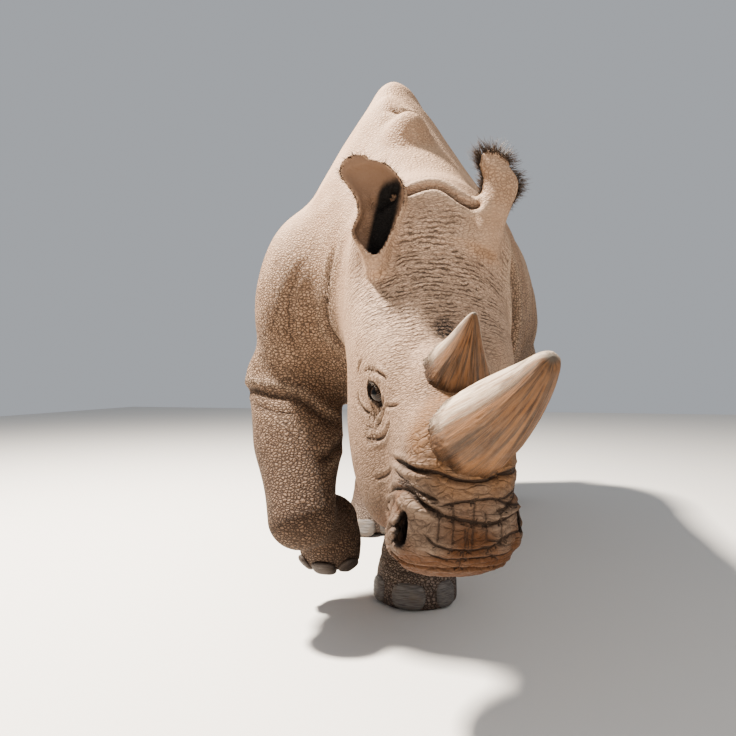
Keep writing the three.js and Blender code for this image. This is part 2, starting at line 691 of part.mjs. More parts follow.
Object.entries(LEGS).forEach(([name, { lo, hi, steps }]) => {
  const from = [lo[0] - 0.05, lo[1] - 0.05, -0.16];
  const to = [hi[0] + 0.05, hi[1] + 0.05, hi[2] + 0.08];
  const flesh = fleshSolid(whole(steps), from, to, [0.058, 0.059, 0.08]);
  bodies[name] = mainBody(flesh.intersect(block(lo, hi)));
});

// Tail: a thin taper that hangs from the rump.
const tailShape = sweep([0, 1.885, 1.28], [0.04, 0.11, -0.62], [1, 0, 0], [
  [-0.05, 0, 0, 0.052, 0.045],
  [0.06, 0, 0, 0.046, 0.042],
  [0.2, 0, 0, 0.034, 0.031],
  [0.4, 0.008, 0, 0.026, 0.023],
  [0.6, 0.02, 0, 0.019, 0.017],
  [0.62, 0.021, 0, 0.009, 0.008],
], [0.06, 0.02]);
const tailLoops = Array.from({ length: 9 }, (_, r) => {
  const t = THREE.MathUtils.lerp(-0.05, 0.62, r / 8);
  const [, offU, offV, halfU, halfV] = lookUp(tailShape.table, t);
  return Array.from({ length: 8 }, (_, i) => {
    const a = (2 * Math.PI * i) / 8;
    return tailShape.o.clone()
      .addScaledVector(tailShape.e, t)
      .addScaledVector(tailShape.u, offU + Math.cos(a) * halfU)
      .addScaledVector(tailShape.v, offV + Math.sin(a) * halfV);
  });
});
bodies.tail = mainBody(loftSolid(tailLoops).subtract(trunkFlesh(GAP)));

// Eyes, ears and horns on the head.
[["left", 1], ["right", -1]].forEach(([word, s]) => {
  const centre = inHead([s * EYE[0], EYE[1], EYE[2]]);
  const eye = (grow) => {
    const globe = new THREE.SphereGeometry((EYE_RADIUS + grow) * MM, 10, 7);
    return manifoldOf(globe.translate(...centre.map((v) => v * MM)));
  };
  bodies["eye_" + word] = eye(0);
  bodies.head = mainBody(bodies.head.subtract(eye(GAP)));
});
bodies.ear_left = mainBody(ear(EAR_LEFT).subtract(headKeepOut));
bodies.ear_right = mainBody(ear(EAR_RIGHT).subtract(headKeepOut));
bodies.horn_front = mainBody(horn(FRONT_HORN, 14).subtract(headKeepOut));
bodies.horn_rear = mainBody(horn(REAR_HORN, 12).subtract(headKeepOut));

// Toenails, each let into a pocket in the front of its foot.
const FEET = {
  fore_left: standingNails(FORE_FOOT, 1),
  fore_right: hangingNails(TOE, -1),
  hind_left: standingNails(HIND_LEFT.foot, 1),
  hind_right: standingNails(HIND_RIGHT.foot, -1),
};
Object.entries(FEET).forEach(([foot, nails]) => {
  const shape = form(LEGS["leg_" + foot].steps);
  nails.forEach(({ word, args }) => {
    const plate = nail(shape, ...args).intersect(block([-1, -2, 0.001], [1, 3, 2]));
    bodies["nail_" + foot + "_" + word] = mainBody(plate);
    bodies["leg_" + foot] = mainBody(bodies["leg_" + foot].subtract(nail(shape, ...args, GAP)));
  });
});

// The group: one mesh for each solid, centred over its footprint.
const COLOURS = { horn: 0xb39a78, nail: 0x4d453e, eye: 0x1c130d, ear: 0xa08a74 };
const rhinoceros = new THREE.Group();
rhinoceros.name = "white_rhinoceros";
const bounds = new THREE.Box3();
Object.entries(bodies).forEach(([name, body]) => {
  const m = body.getMesh();
  const g = new THREE.BufferGeometry();
  g.setAttribute("position", new THREE.BufferAttribute(new Float32Array(m.vertProperties), 3));
  g.setIndex(new THREE.BufferAttribute(new Uint32Array(m.triVerts), 1));
  g.computeVertexNormals();
  g.computeBoundingBox();
  bounds.union(g.boundingBox);
  const kind = name.split("_")[0];
  const material = new THREE.MeshStandardMaterial({
    color: COLOURS[kind] ?? 0xb5a08a,
    roughness: kind === "eye" ? 0.08 : kind === "horn" || kind === "nail" ? 0.55 : 0.85,
    metalness: 0,
  });
  const mesh = new THREE.Mesh(g, material);
  mesh.name = name;
  rhinoceros.add(mesh);
});
const middle = bounds.getCenter(new THREE.Vector3());
rhinoceros.children.forEach((mesh) => mesh.geometry.translate(-middle.x, -middle.y, 0));

export default rhinoceros;
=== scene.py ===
"""A white rhinoceros, life size, walking with its head low: one skin in place of the solids of its flesh,
with eyes, horns, toenails, ear fringes, lashes and tail hair. Metres; it faces -Y and its left side is +X."""

import bpy
import numpy as np
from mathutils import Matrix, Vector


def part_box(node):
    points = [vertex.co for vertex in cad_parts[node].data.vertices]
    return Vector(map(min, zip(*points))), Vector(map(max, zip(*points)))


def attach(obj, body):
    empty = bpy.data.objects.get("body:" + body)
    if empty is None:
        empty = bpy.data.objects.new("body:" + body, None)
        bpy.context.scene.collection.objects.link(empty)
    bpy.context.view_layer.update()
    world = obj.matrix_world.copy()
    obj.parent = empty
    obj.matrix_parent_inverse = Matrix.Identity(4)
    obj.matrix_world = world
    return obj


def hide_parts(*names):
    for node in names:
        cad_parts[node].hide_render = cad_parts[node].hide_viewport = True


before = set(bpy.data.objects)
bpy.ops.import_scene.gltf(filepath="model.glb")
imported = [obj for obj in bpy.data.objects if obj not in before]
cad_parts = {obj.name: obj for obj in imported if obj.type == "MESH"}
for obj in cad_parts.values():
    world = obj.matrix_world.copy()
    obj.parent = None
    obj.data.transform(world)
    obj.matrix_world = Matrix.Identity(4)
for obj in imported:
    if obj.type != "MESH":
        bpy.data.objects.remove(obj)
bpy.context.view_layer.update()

# ----------------------------------------------------------------------------------------------------
# Skin, first part: the form. The hide is drawn as one surface over ovals carried along the trunk, neck, skull
# and limbs, each blended into the next, so that no seam shows where head, neck, legs and tail meet the trunk.
LEFT, RIGHT = 1.0, -1.0


def unit(v):
    """A vector of length one."""
    v = np.asarray(v, float)
    return v / np.linalg.norm(v)


def fair(stations, samples=240):
    """Rows (t, values) drawn as one smooth curve: cubic pieces with slopes from the rows about them."""
    rows = np.asarray(stations, float)
    t = rows[:, 0]
    slope = np.gradient(rows, t, axis=0)
    fine = np.linspace(t[0], t[-1], samples)
    k = np.clip(np.searchsorted(t, fine, side="right") - 1, 0, len(t) - 2)
    h = (t[k + 1] - t[k])[:, None]
    s = (fine - t[k])[:, None] / h
    start, end = rows[k], rows[k + 1]
    leave, arrive = slope[k] * h, slope[k + 1] * h
    return ((2 * s**3 - 3 * s**2 + 1) * start + (s**3 - 2 * s**2 + s) * leave
            + (3 * s**2 - 2 * s**3) * end + (s**3 - s**2) * arrive)


def oval(u, v, w, a, b, c, n):
    """Distance from an oval a by b of power n, with a cap of radius c along w: (r - 1) / |slope of r|."""
    u, v, w = np.abs(u) / a, np.abs(v) / b, w / c
    k = (u**n + v**n) ** (1 / n)
    r = np.sqrt(k * k + w * w) + 1e-9
    f = k ** (2 - n)
    slope = np.sqrt((f * u ** (n - 1) / a) ** 2 + (f * v ** (n - 1) / b) ** 2 + (w / c) ** 2) / r + 1e-9
    return (r - 1) / slope


def join(a, b, k):
    """The lesser of two distances, rounded over a width k."""
    h = np.maximum(k - np.abs(a - b), 0) / k
    return np.minimum(a, b) - h * h * k / 4


def carve(a, b, k):
    """What lies in a and outside b, the edge rounded over a width k."""
    return -join(-a, b, k)


class Ball:
    """An ellipsoid of power n about a centre."""

    def __init__(self, centre, radii, n=2.0):
        self.c, self.r, self.n = np.asarray(centre, float), np.asarray(radii, float), n
        self.box = self.c, np.full(3, self.r.max())

    def __call__(self, p):
        q = p - self.c
        return oval(q[:, 0], q[:, 2], q[:, 1], self.r[0], self.r[2], self.r[1], self.n)


class Sweep:
    """An oval along a straight axis; stations are (t, off side, off front, half side, half front, power)."""

    def __init__(self, origin, axis, side, stations, caps, n=2.0):
        self.o, self.e = np.asarray(origin, float), unit(axis)
        self.u = unit(np.asarray(side, float) - np.dot(side, self.e) * self.e)
        self.v = np.cross(self.u, self.e)
        self.t = fair(stations)
        self.caps, self.n = caps, n
        reach = np.abs(self.t[:, 1:3]).max() + self.t[:, 3:5].max()
        low, high = self.t[0, 0] - caps[0], self.t[-1, 0] + caps[1]
        self.box = self.o + self.e * (low + high) / 2, np.abs(self.e) * (high - low) / 2 + reach

    def section(self, t):
        """Both offsets and both half widths at t along the axis."""
        return [np.interp(t, self.t[:, 0], self.t[:, i]) for i in (1, 2, 3, 4)]

    def __call__(self, p):
        q = p - self.o
        t = q @ self.e
        at = np.clip(t, self.t[0, 0], self.t[-1, 0])
        off_u, off_v, a, b = self.section(at)
        n = np.interp(at, self.t[:, 0], self.t[:, 5]) if self.t.shape[1] > 5 else self.n
        cap = np.where(t > at, *self.caps[::-1])
        return oval(q @ self.u - off_u, q @ self.v - off_v, t - at, a, b, cap, n)


def bone(start, end, rows, caps):
    """A limb's length from joint to joint; rows run from 0 to 1 along it."""
    start, end = np.asarray(start, float), np.asarray(end, float)
    length = np.linalg.norm(end - start)
    return Sweep(start, end - start, (1, 0, 0), [(r[0] * length, *r[1:]) for r in rows], caps)


class Form:
    """Pieces joined one after another, each over a width of its own, in a frame given as (origin, axes)."""

    def __init__(self, steps, place=None):
        self.steps, self.place = steps, place
        low = np.min([s.box[0] - s.box[1] for _, s in steps], 0)
        high = np.max([s.box[0] + s.box[1] for _, s in steps], 0)
        middle, half = (low + high) / 2, (high - low) / 2
        self.box = middle, half
        if place is not None:
            self.box = place[0] + middle @ place[1], np.abs(place[1].T) @ half

    def __call__(self, p):
        q = p if self.place is None else (p - self.place[0]) @ self.place[1].T
        d = np.full(len(q), 9.0)
        for k, piece in self.steps:
            beyond = np.maximum(np.abs(q - piece.box[0]) - piece.box[1], 0)
            near = np.sqrt((beyond**2).sum(1)) < d + k
            d[near] = join(d[near], piece(q[near]), k)
        return d


# Head frame: x is the animal's left, y runs back along the skull, z is up through the horns.
LIP = np.array([0.335, -0.865, 0.362])
NOSE_DOWN, NOSE_LEFT, HEAD_ROLL = np.radians([55.5, 17.5, 3.5])
head_back = np.array([-np.sin(NOSE_LEFT) * np.cos(NOSE_DOWN), np.cos(NOSE_LEFT) * np.cos(NOSE_DOWN),
                      np.sin(NOSE_DOWN)])
head_up = unit(np.array([0, 0, 1]) - head_back[2] * head_back)
head_up = np.cos(HEAD_ROLL) * head_up + np.sin(HEAD_ROLL) * np.cross(head_back, head_up)
HEAD = np.array([np.cross(head_back, head_up), head_back, head_up])


def on_head(points):
    """Places given in the head's frame, in the animal's frame."""
    return LIP + np.asarray(points, float) @ HEAD


def edges(rows):
    """Rows (y, top, bottom, half width, lean, power) as stations of a sweep along y."""
    return [(r[0], r[4], (r[1] + r[2]) / 2, r[3], (r[1] - r[2]) / 2, *r[5:]) for r in rows]


trunk = Sweep((0, 0, 0), (0, 1, 0), (1, 0, 0), edges([
    (-0.14, 1.30, 0.66, 0.32, 0.03), (0.10, 1.42, 0.59, 0.395, 0.02), (0.35, 1.47, 0.53, 0.45, 0.01),
    (0.70, 1.46, 0.47, 0.485, 0.0), (1.05, 1.48, 0.49, 0.475, 0.0), (1.35, 1.52, 0.56, 0.44, 0.0),
    (1.58, 1.50, 0.66, 0.38, 0.0), (1.74, 1.40, 0.78, 0.31, 0.0)]), (0.18, 0.18))
hump = Sweep((0, 0, 0), (0, 1, 0), (1, 0, 0), [
    (-0.18, 0.045, 1.13, 0.235, 0.43), (-0.06, 0.030, 1.17, 0.275, 0.497), (0.12, 0.015, 1.18, 0.300, 0.487),
    (0.38, 0.01, 1.14, 0.30, 0.42)], (0.14, 0.42), n=1.35)
neck = bone((0.03, 0.05, 1.04), (0.205, -0.45, 0.92), [
    (0.0, 0, 0, 0.33, 0.40), (0.5, 0, -0.01, 0.28, 0.35), (1.0, 0, -0.01, 0.20, 0.27)], (0.1, 0.10))
nape = bone((0.045, -0.06, 1.43), (0.215, -0.46, 1.06), [
    (0.0, 0, 0, 0.115, 0.17), (0.5, 0, 0.0, 0.13, 0.14), (1.0, 0, 0, 0.145, 0.11)], (0.1, 0.08))
fore_left = Sweep((0.10, 0, 0), (0, 0, 1), (1, 0, 0), [
    (-0.03, 0, 0.015, 0.126, 0.130), (0.05, 0, 0.02, 0.131, 0.138), (0.12, 0, 0.012, 0.120, 0.128),
    (0.20, 0.0, 0, 0.106, 0.112), (0.30, 0.01, 0, 0.106, 0.114), (0.40, 0.025, 0.0, 0.117, 0.128),
    (0.52, 0.055, -0.02, 0.130, 0.155), (0.65, 0.095, -0.05, 0.148, 0.195),
    (0.80, 0.14, -0.06, 0.165, 0.220)], (0.02, 0.15))
CARPUS, ELBOW = (-0.160, -0.38, 0.318), (-0.275, -0.13, 0.70)
FETLOCK, TOE = (-0.150, -0.17, 0.270), (-0.148, -0.15, 0.150)
fore_right = [
    (0.04, bone(CARPUS, ELBOW, [
        (0.0, 0, 0, 0.094, 0.088), (0.2, 0, 0, 0.104, 0.096), (0.5, 0, 0, 0.134, 0.124),
        (0.8, 0, 0, 0.142, 0.15), (1.0, 0, 0, 0.155, 0.175)], (0.085, 0.12))),
    (0.018, bone(FETLOCK, CARPUS, [
        (0, 0, 0, 0.080, 0.075), (0.5, 0, 0, 0.080, 0.078), (1, 0, 0, 0.084, 0.080)], (0.06, 0.07))),
    (0.02, bone(TOE, FETLOCK, [
        (0, 0, 0, 0.092, 0.08), (0.4, 0, 0, 0.098, 0.094), (1, 0, 0, 0.088, 0.082)], (0.03, 0.07))),
]


def hind_leg(foot, hock, stifle, hip):
    """A hind leg: cannon, gaskin and thigh, each a limb's length joined into the next."""
    return [
        (0.05, bone(foot, hock, [(-0.06, 0, 0.02, 0.115, 0.128), (0.12, 0, 0.02, 0.120, 0.134),
                                 (0.30, 0, 0.01, 0.103, 0.112), (0.55, 0, 0, 0.094, 0.104),
                                 (1.0, 0, 0, 0.098, 0.122)], (0.012, 0.09))),
        (0.06, bone(hock, stifle, [(0.0, 0, 0.0, 0.094, 0.115), (0.3, 0, 0.01, 0.110, 0.148),
                                   (0.7, 0, 0.02, 0.148, 0.205), (1.0, 0, 0.0, 0.17, 0.235)], (0.07, 0.12))),
        (0.13, bone(stifle, hip, [(0.0, 0, -0.02, 0.175, 0.24), (0.5, 0, 0, 0.195, 0.31),
                                  (1.0, 0, 0, 0.185, 0.30)], (0.15, 0.2))),
    ]


tail = Sweep((0.0, 1.885, 1.28), (0.04, 0.11, -0.62), (1, 0, 0), [
    (-0.05, 0, 0, 0.052, 0.045), (0.06, 0, 0, 0.046, 0.042), (0.2, 0, 0, 0.034, 0.031),
    (0.4, 0.008, 0, 0.026, 0.023), (0.6, 0.02, 0, 0.019, 0.017)], (0.06, 0.02))
body = Form([
    (0.01, trunk), (0.08, hump), (0.04, Ball((0.035, -0.02, 1.595), (0.062, 0.13, 0.068))), (0.12, neck),
    (0.06, nape), (0.08, Ball((0.27, 0.02, 0.93), (0.175, 0.28, 0.33))),
    (0.08, Ball((-0.235, -0.06, 0.92), (0.17, 0.29, 0.33))),
    (0.03, Ball((0.127, -0.300, 1.383), (0.062, 0.058, 0.080))), (0.05, fore_left), *fore_right,
    *hind_leg((0.24, 1.68, 0), (0.25, 1.77, 0.44), (0.29, 1.50, 0.80), (0.22, 1.54, 1.15)),
    *hind_leg((-0.262, 0.82, 0), (-0.275, 1.00, 0.42), (-0.32, 1.02, 0.80), (-0.22, 1.48, 1.12)),
    (0.03, tail)])

skull = Sweep((0, 0, 0), (0, 1, 0), (1, 0, 0), edges([
    (0.02, 0.085, -0.060, 0.094, -0.012, 3.0), (0.06, 0.115, -0.095, 0.110, -0.011, 3.0),
    (0.12, 0.145, -0.125, 0.112, -0.010, 2.8), (0.20, 0.150, -0.152, 0.113, -0.008, 2.6),
    (0.30, 0.135, -0.182, 0.132, -0.004, 2.4), (0.40, 0.120, -0.213, 0.142, 0, 2.3),
    (0.50, 0.112, -0.245, 0.156, 0, 2.3), (0.60, 0.115, -0.265, 0.168, 0, 2.3),
    (0.70, 0.130, -0.250, 0.160, 0, 2.3), (0.80, 0.140, -0.170, 0.140, 0, 2.2),
    (0.85, 0.130, -0.100, 0.120, 0, 2.2)]), (0.02, 0.05))
EYE_OUT, EYE_BACK, EYE_HEIGHT, EYE_RADIUS = 0.131, 0.373, 0.006, 0.027
LID, LID_BOW, LID_SINK = 0.0065, 0.0365, 0.0175
LOOK = {s: unit((s * 0.76, -0.34, 0.55)) for s in (LEFT, RIGHT)}
both = [(k, Ball((s * x, y, z), radii)) for k, x, y, z, radii in [
    (0.05, 0.100, 0.420, 0.045, (0.045, 0.08, 0.045)),
    (0.06, 0.122, 0.53, -0.04, (0.064, 0.15, 0.09)),
    (0.05, 0.116, 0.42, -0.130, (0.080, 0.29, 0.105)),
    (0.04, 0.118, 0.78, 0.07, (0.05, 0.06, 0.05)),
    (0.012, EYE_OUT, EYE_BACK, EYE_HEIGHT, (EYE_RADIUS + LID,) * 3),
    (0.010, EYE_OUT + 0.004, EYE_BACK + 0.014, EYE_HEIGHT + 0.014, (0.031,) * 3)] for s in (LEFT, RIGHT)]
head = Form([
    (0.01, skull),
    (0.03, Ball((-0.011, 0.06, -0.005), (0.120, 0.066, 0.085), 3.2)),
    (0.02, Ball((-0.022, 0.097, -0.091), (0.096, 0.078, 0.042), 2.6)),
    (0.012, Ball((-0.121, 0.050, 0.034), (0.016, 0.040, 0.034))),
    (0.012, Ball((0.094, 0.064, 0.036), (0.016, 0.040, 0.034))),
    (0.03, Ball((-0.003, 0.185, 0.10), (0.100, 0.115, 0.085))),
    (0.03, Ball((0, 0.34, 0.10), (0.085, 0.09, 0.055))), (0.05, Ball((0, 0.80, 0.105), (0.12, 0.08, 0.050))),
    *both], (LIP, HEAD))

EAR_ROWS = {
    "left": [(-0.03, 0, 0, 0.046, 0.038), (0.02, 0, 0, 0.040, 0.038), (0.06, 0, 0, 0.035, 0.038),
             (0.10, 0, 0, 0.036, 0.040), (0.135, 0.004, 0, 0.042, 0.038), (0.16, 0.018, 0, 0.048, 0.032),
             (0.18, 0.034, 0, 0.036, 0.022)],
    "right": [(-0.02, -0.020, 0, 0.022, 0.030), (0.03, -0.013, 0, 0.033, 0.040),
              (0.08, -0.005, 0, 0.052, 0.047), (0.115, 0.017, 0, 0.053, 0.048),
              (0.15, 0.022, 0, 0.056, 0.045), (0.19, 0.008, 0, 0.058, 0.038),
              (0.215, -0.008, 0, 0.055, 0.030), (0.230, -0.020, 0, 0.042, 0.020)]}
EAR_OPENING = {"left": np.array([(-0.03, 0.06), (0.03, 0.05), (0.06, 0.02), (0.10, -0.002), (0.24, -0.012)]),
               "right": np.array([(-0.02, 0.05), (0.02, 0.034), (0.06, 0.014), (0.10, 0.0), (0.16, -0.010),
                                  (0.25, -0.014)])}
EAR_WALL, EAR_EDGE = 0.0105, 0.006
LEAST_SLOPE, MOST_SLOPE = 0.6, 1.4


def slope_of(field, p, h=0.0012):
    """The way the field grows fastest, from differences over 2h."""
    return np.stack([field(p + h * e) - field(p - h * e) for e in np.eye(3)], 1) / (2 * h)


class Ear:
    """An ear: |distance| / |slope| less half a wall, open like a spoon on its front side."""

    def __init__(self, word, root, along, side):
        self.s = Sweep(root, along, side, EAR_ROWS[word], (0.01, 0.025))
        self.opening = EAR_OPENING[word].T
        self.box = self.s.box

    def __call__(self, p):
        steep = np.linalg.norm(slope_of(self.s, p), axis=1)
        wall = np.abs(self.s(p)) / np.clip(steep, LEAST_SLOPE, MOST_SLOPE) - EAR_WALL / 2
        q = p - self.s.o
        t = q @ self.s.e
        v = q @ self.s.v - self.s.section(t)[1]
        return carve(wall, np.interp(t, *self.opening) - v, EAR_EDGE)


ear_left = Ear("left", (0.350, -0.530, 1.045), (0.30, 0.19, 0.92), (-0.85, -0.42, 0.36))
ear_right = Ear("right", (0.130, -0.610, 0.988), (-0.178, -0.183, 0.967), (0.96, 0.10, 0.20))
flesh = Form([(0.01, body), (0.09, head), (0.02, ear_right), (0.02, ear_left)])
SOLE_EDGE, LID_EDGE = 0.012, 0.005
FACE_MIDDLE, FACE_REACH = -0.80, 0.25


def eye_axes(s):
    """Along the lids, up across them, and out through the pupil, for the eye on side s."""
    along = unit(np.cross(LOOK[s], (0, 0, 1)) * s)
    return along, np.cross(along, LOOK[s]) * s, LOOK[s]


def openings(p):
    """Distance from the spaces cut into the head: between the lids, in the nostrils and in the mouth."""
    q = (p - LIP) @ HEAD.T
    d = np.full(len(q), 9.0)
    for s in (LEFT, RIGHT):
        e = q - (s * EYE_OUT, EYE_BACK, EYE_HEIGHT)
        a, h, w = (e @ axis for axis in eye_axes(s))
        a = np.where(a > 0, 0.86 * a, 1.10 * a)
        slit = np.sqrt(a * a + (np.abs(h) + LID_SINK) ** 2) - LID_BOW
        gap = np.maximum(np.maximum(slit, EYE_RADIUS - 0.006 - np.linalg.norm(e, axis=1)), -w)
        d = np.minimum(d, gap)
        n = q - (s * 0.107 - 0.010, 0.058 + s * 0.010, 0.062)
        long = unit((s * 0.08, 0.70, 0.71))
        into = unit((-s * 0.62, 0.58, -0.50))
        across = np.cross(long, into)
        hole = oval(n @ long, n @ across, n @ into, 0.030, 0.0110, 0.045, 2.0)
        d = np.minimum(d, hole)
    return d


def hide(p):
    """Distance from the finished form: the flesh, less its openings, cut flat where the feet stand."""
    d = flesh(p)
    near = (np.abs(d) < 0.06) & (np.abs(p[:, 1] - FACE_MIDDLE) < FACE_REACH) & (p[:, 2] < 0.9)
    d[near] = carve(d[near], openings(p[near]), LID_EDGE)
    return carve(d, p[:, 2], SOLE_EDGE)


# ----------------------------------------------------------------------------------------------------
# Skin, second part: the surface. A lattice that is fine at the muzzle and widens towards the rump is laid
# over the form; each cell that the surface crosses gets one vertex, which is then drawn on to the surface.
# Rows (y, metres): the cells' size, and the lattice's shift to the left, its half width and its height.
CELL_AT = np.array([(-1.1, 0.0047), (-0.74, 0.0047), (-0.71, 0.0056), (-0.46, 0.0056), (-0.37, 0.0102),
                    (-0.2, 0.0148), (0.25, 0.027), (2.4, 0.033)])
LANE = np.array([(-0.5, 0.24), (0.0, 0.0)])
HALF_WIDTH = np.array([(-1.2, 0.40), (-0.5, 0.40), (-0.4, 0.60), (2.3, 0.60)])
HEIGHT = np.array([(-1.2, 1.45), (-0.4, 1.55), (-0.2, 1.80), (2.2, 1.80)])
STRIDE, BATCH = 4, 400_000


def lattice_surface(field, first, last, bottom=-0.03):
    """Vertices and quads of field = 0: coarse blocks far from the surface are skipped, and each crossed
    cell's vertex is the mean of the points where its edges cross."""
    rows = [first]
    while rows[-1] < last:
        rows.append(rows[-1] + np.interp(rows[-1], *CELL_AT.T))
    rows = np.array(rows[: (len(rows) - 1) // STRIDE * STRIDE + 1])
    cell, lane = np.interp(rows, *CELL_AT.T), np.interp(rows, *LANE.T)
    nj = len(rows)
    ni = int(np.ceil(np.max(np.interp(rows, *HALF_WIDTH.T) / cell) / STRIDE)) * STRIDE * 2 + 1
    nk = int(np.ceil(np.max((np.interp(rows, *HEIGHT.T) - bottom) / cell) / STRIDE)) * STRIDE + 1

    def place(i, j, k):
        size = np.interp(j, np.arange(nj), cell)
        x = np.interp(j, np.arange(nj), lane) + (i - (ni - 1) / 2) * size
        return np.stack([x, np.interp(j, np.arange(nj), rows), bottom + k * size], -1)

    def sample(index):
        return np.concatenate([field(place(*part.T.astype(float))) for part in
                               np.array_split(index, max(1, len(index) // BATCH))]).astype(np.float32)

    coarse = np.stack(np.meshgrid(*(np.arange(0, n, STRIDE) for n in (ni, nj, nk)), indexing="ij"), -1)
    value = sample(coarse.reshape(-1, 3)).reshape(coarse.shape[:3])
    octant = np.stack(np.meshgrid((0, 1), (0, 1), (0, 1), indexing="ij"), -1).reshape(-1, 3)
    corner = np.stack([value[a:value.shape[0] - 1 + a, b:value.shape[1] - 1 + b, c:value.shape[2] - 1 + c]
                       for a, b, c in octant])
    wide = STRIDE * np.maximum(cell[:-1:STRIDE], cell[STRIDE::STRIDE])[None, :, None]
    busy = (np.abs(corner).min(0) < 0.95 * wide) | ((corner < 0).any(0) & (corner > 0).any(0))
    for axis in range(3):
        value = value.repeat(STRIDE, axis)
    value = value[:ni, :nj, :nk]
    fine = np.zeros(value.shape, bool)
    span = np.stack(np.meshgrid(*[np.arange(STRIDE + 1)] * 3, indexing="ij"), -1).reshape(1, -1, 3)
    for part in np.array_split(np.argwhere(busy) * STRIDE, 8):
        at = (part[:, None] + span).reshape(-1, 3)
        fine[at[:, 0], at[:, 1], at[:, 2]] = True
    value[fine] = sample(np.argwhere(fine))
    inside = value < 0
    # A sample whose side differs from all six neighbours' would leave a loose speck, so it changes sides.
    lone = np.ones(inside.shape, bool)
    for axis, way in ((0, 1), (0, -1), (1, 1), (1, -1), (2, 1), (2, -1)):
        lone &= np.roll(inside, way, axis) != inside
    value[lone] *= -1
    inside ^= lone
    total = sum(inside[a:ni - 1 + a, b:nj - 1 + b, c:nk - 1 + c].astype(np.uint8) for a, b, c in octant)
    cells = np.argwhere((total > 0) & (total < 8))
    at = cells[:, None] + octant[None]
    v = value[at[..., 0], at[..., 1], at[..., 2]]
    point, count = np.zeros((len(cells), 3)), np.zeros(len(cells))
    for a, b in [(a, b) for a in range(8) for b in range(a, 8) if np.abs(octant[b] - octant[a]).sum() == 1]:
        crossed = (v[:, a] < 0) != (v[:, b] < 0)
        t = v[:, a] / np.where(crossed, v[:, a] - v[:, b], 1)
        point += crossed[:, None] * (octant[a] + t[:, None] * (octant[b] - octant[a]))
        count += crossed
    point = cells + point / count[:, None]
    key = (cells[:, 0] * nj + cells[:, 1]) * nk + cells[:, 2]
    order = np.argsort(key)

    def vertex(c):
        return order[np.searchsorted(key[order], (c[:, 0] * nj + c[:, 1]) * nk + c[:, 2])]

    quads, step = [], np.eye(3, dtype=int)
    for axis in range(3):
        low = inside.take(np.arange(inside.shape[axis] - 1), axis)
        high = inside.take(np.arange(1, inside.shape[axis]), axis)
        edge = np.argwhere(low != high)
        u, w = step[(axis + 1) % 3], step[(axis + 2) % 3]
        ring = np.stack([vertex(edge - u - w), vertex(edge - w), vertex(edge), vertex(edge - u)], 1)
        turned = ~low[edge[:, 0], edge[:, 1], edge[:, 2]]
        ring[turned] = ring[turned, ::-1]
        quads.append(ring)
    return place(*point.T), np.concatenate(quads)


def neighbours_mean(p, quads):
    """For each vertex the mean of the vertices joined to it."""
    turned = np.roll(quads, 1, 1)
    a, b = np.concatenate([quads, turned]).ravel(), np.concatenate([turned, quads]).ravel()
    share = np.bincount(a, minlength=len(p))[:, None]
    return np.stack([np.bincount(a, p[b, i], len(p)) for i in range(3)], 1) / share


skin_points, skin_quads = lattice_surface(hide, -1.15, 2.35)
for _ in range(3):
    sideways = 0.5 * (neighbours_mean(skin_points, skin_quads) - skin_points)
    slope = slope_of(hide, skin_points)
    steep = np.linalg.norm(slope, axis=1, keepdims=True) + 1e-6
    out = slope / steep
    skin_points += sideways - (sideways * out).sum(1, keepdims=True) * out
    skin_points -= np.clip(hide(skin_points)[:, None] / steep, -0.01, 0.01) * out


# ----------------------------------------------------------------------------------------------------
# Skin, third part: folds. The hide is thick and stiff, so it creases where it bends: round muzzle and
# nostrils, under the eyes, behind the poll, over the shoulders, at the elbows, flanks, knees and rump.
on_skull = (skin_points - LIP) @ HEAD.T
raised = np.zeros(len(skin_points))
cell = np.interp(skin_points[:, 1], *CELL_AT.T)
line_gap, line_side, line_depth = np.full(len(cell), 9.0), np.ones(len(cell)), np.zeros(len(cell))


def ripple(p, size, seed):
    """A smooth random field from -1 to 1: eight sine waves, about size long, summed and divided by 3.2."""
    draw = np.random.default_rng(seed)
    waves = draw.normal(size=(8, 3))
    waves *= (2 * np.pi / size / draw.uniform(0.7, 1.5, 8) / np.linalg.norm(waves, axis=1))[:, None]
    return np.clip(np.sin(p @ waves.T + draw.uniform(0, 6.28, 8)).sum(1) / 3.2, -1, 1)


def rise(x, a, b):
    """0 below a, 1 above b, and a smooth step between them."""
    t = np.clip((x - a) / (b - a), 0, 1)
    return t * t * (3 - 2 * t)


def near_ball(p, centre, radii, soft=0.35):
    """1 inside an ellipsoid, falling to 0 a share of its radius outside."""
    r = np.linalg.norm((p - np.asarray(centre)) / np.asarray(radii), axis=1)
    return 1 - rise(r, 1 - soft, 1 + soft)


LINE_POINTS = 90


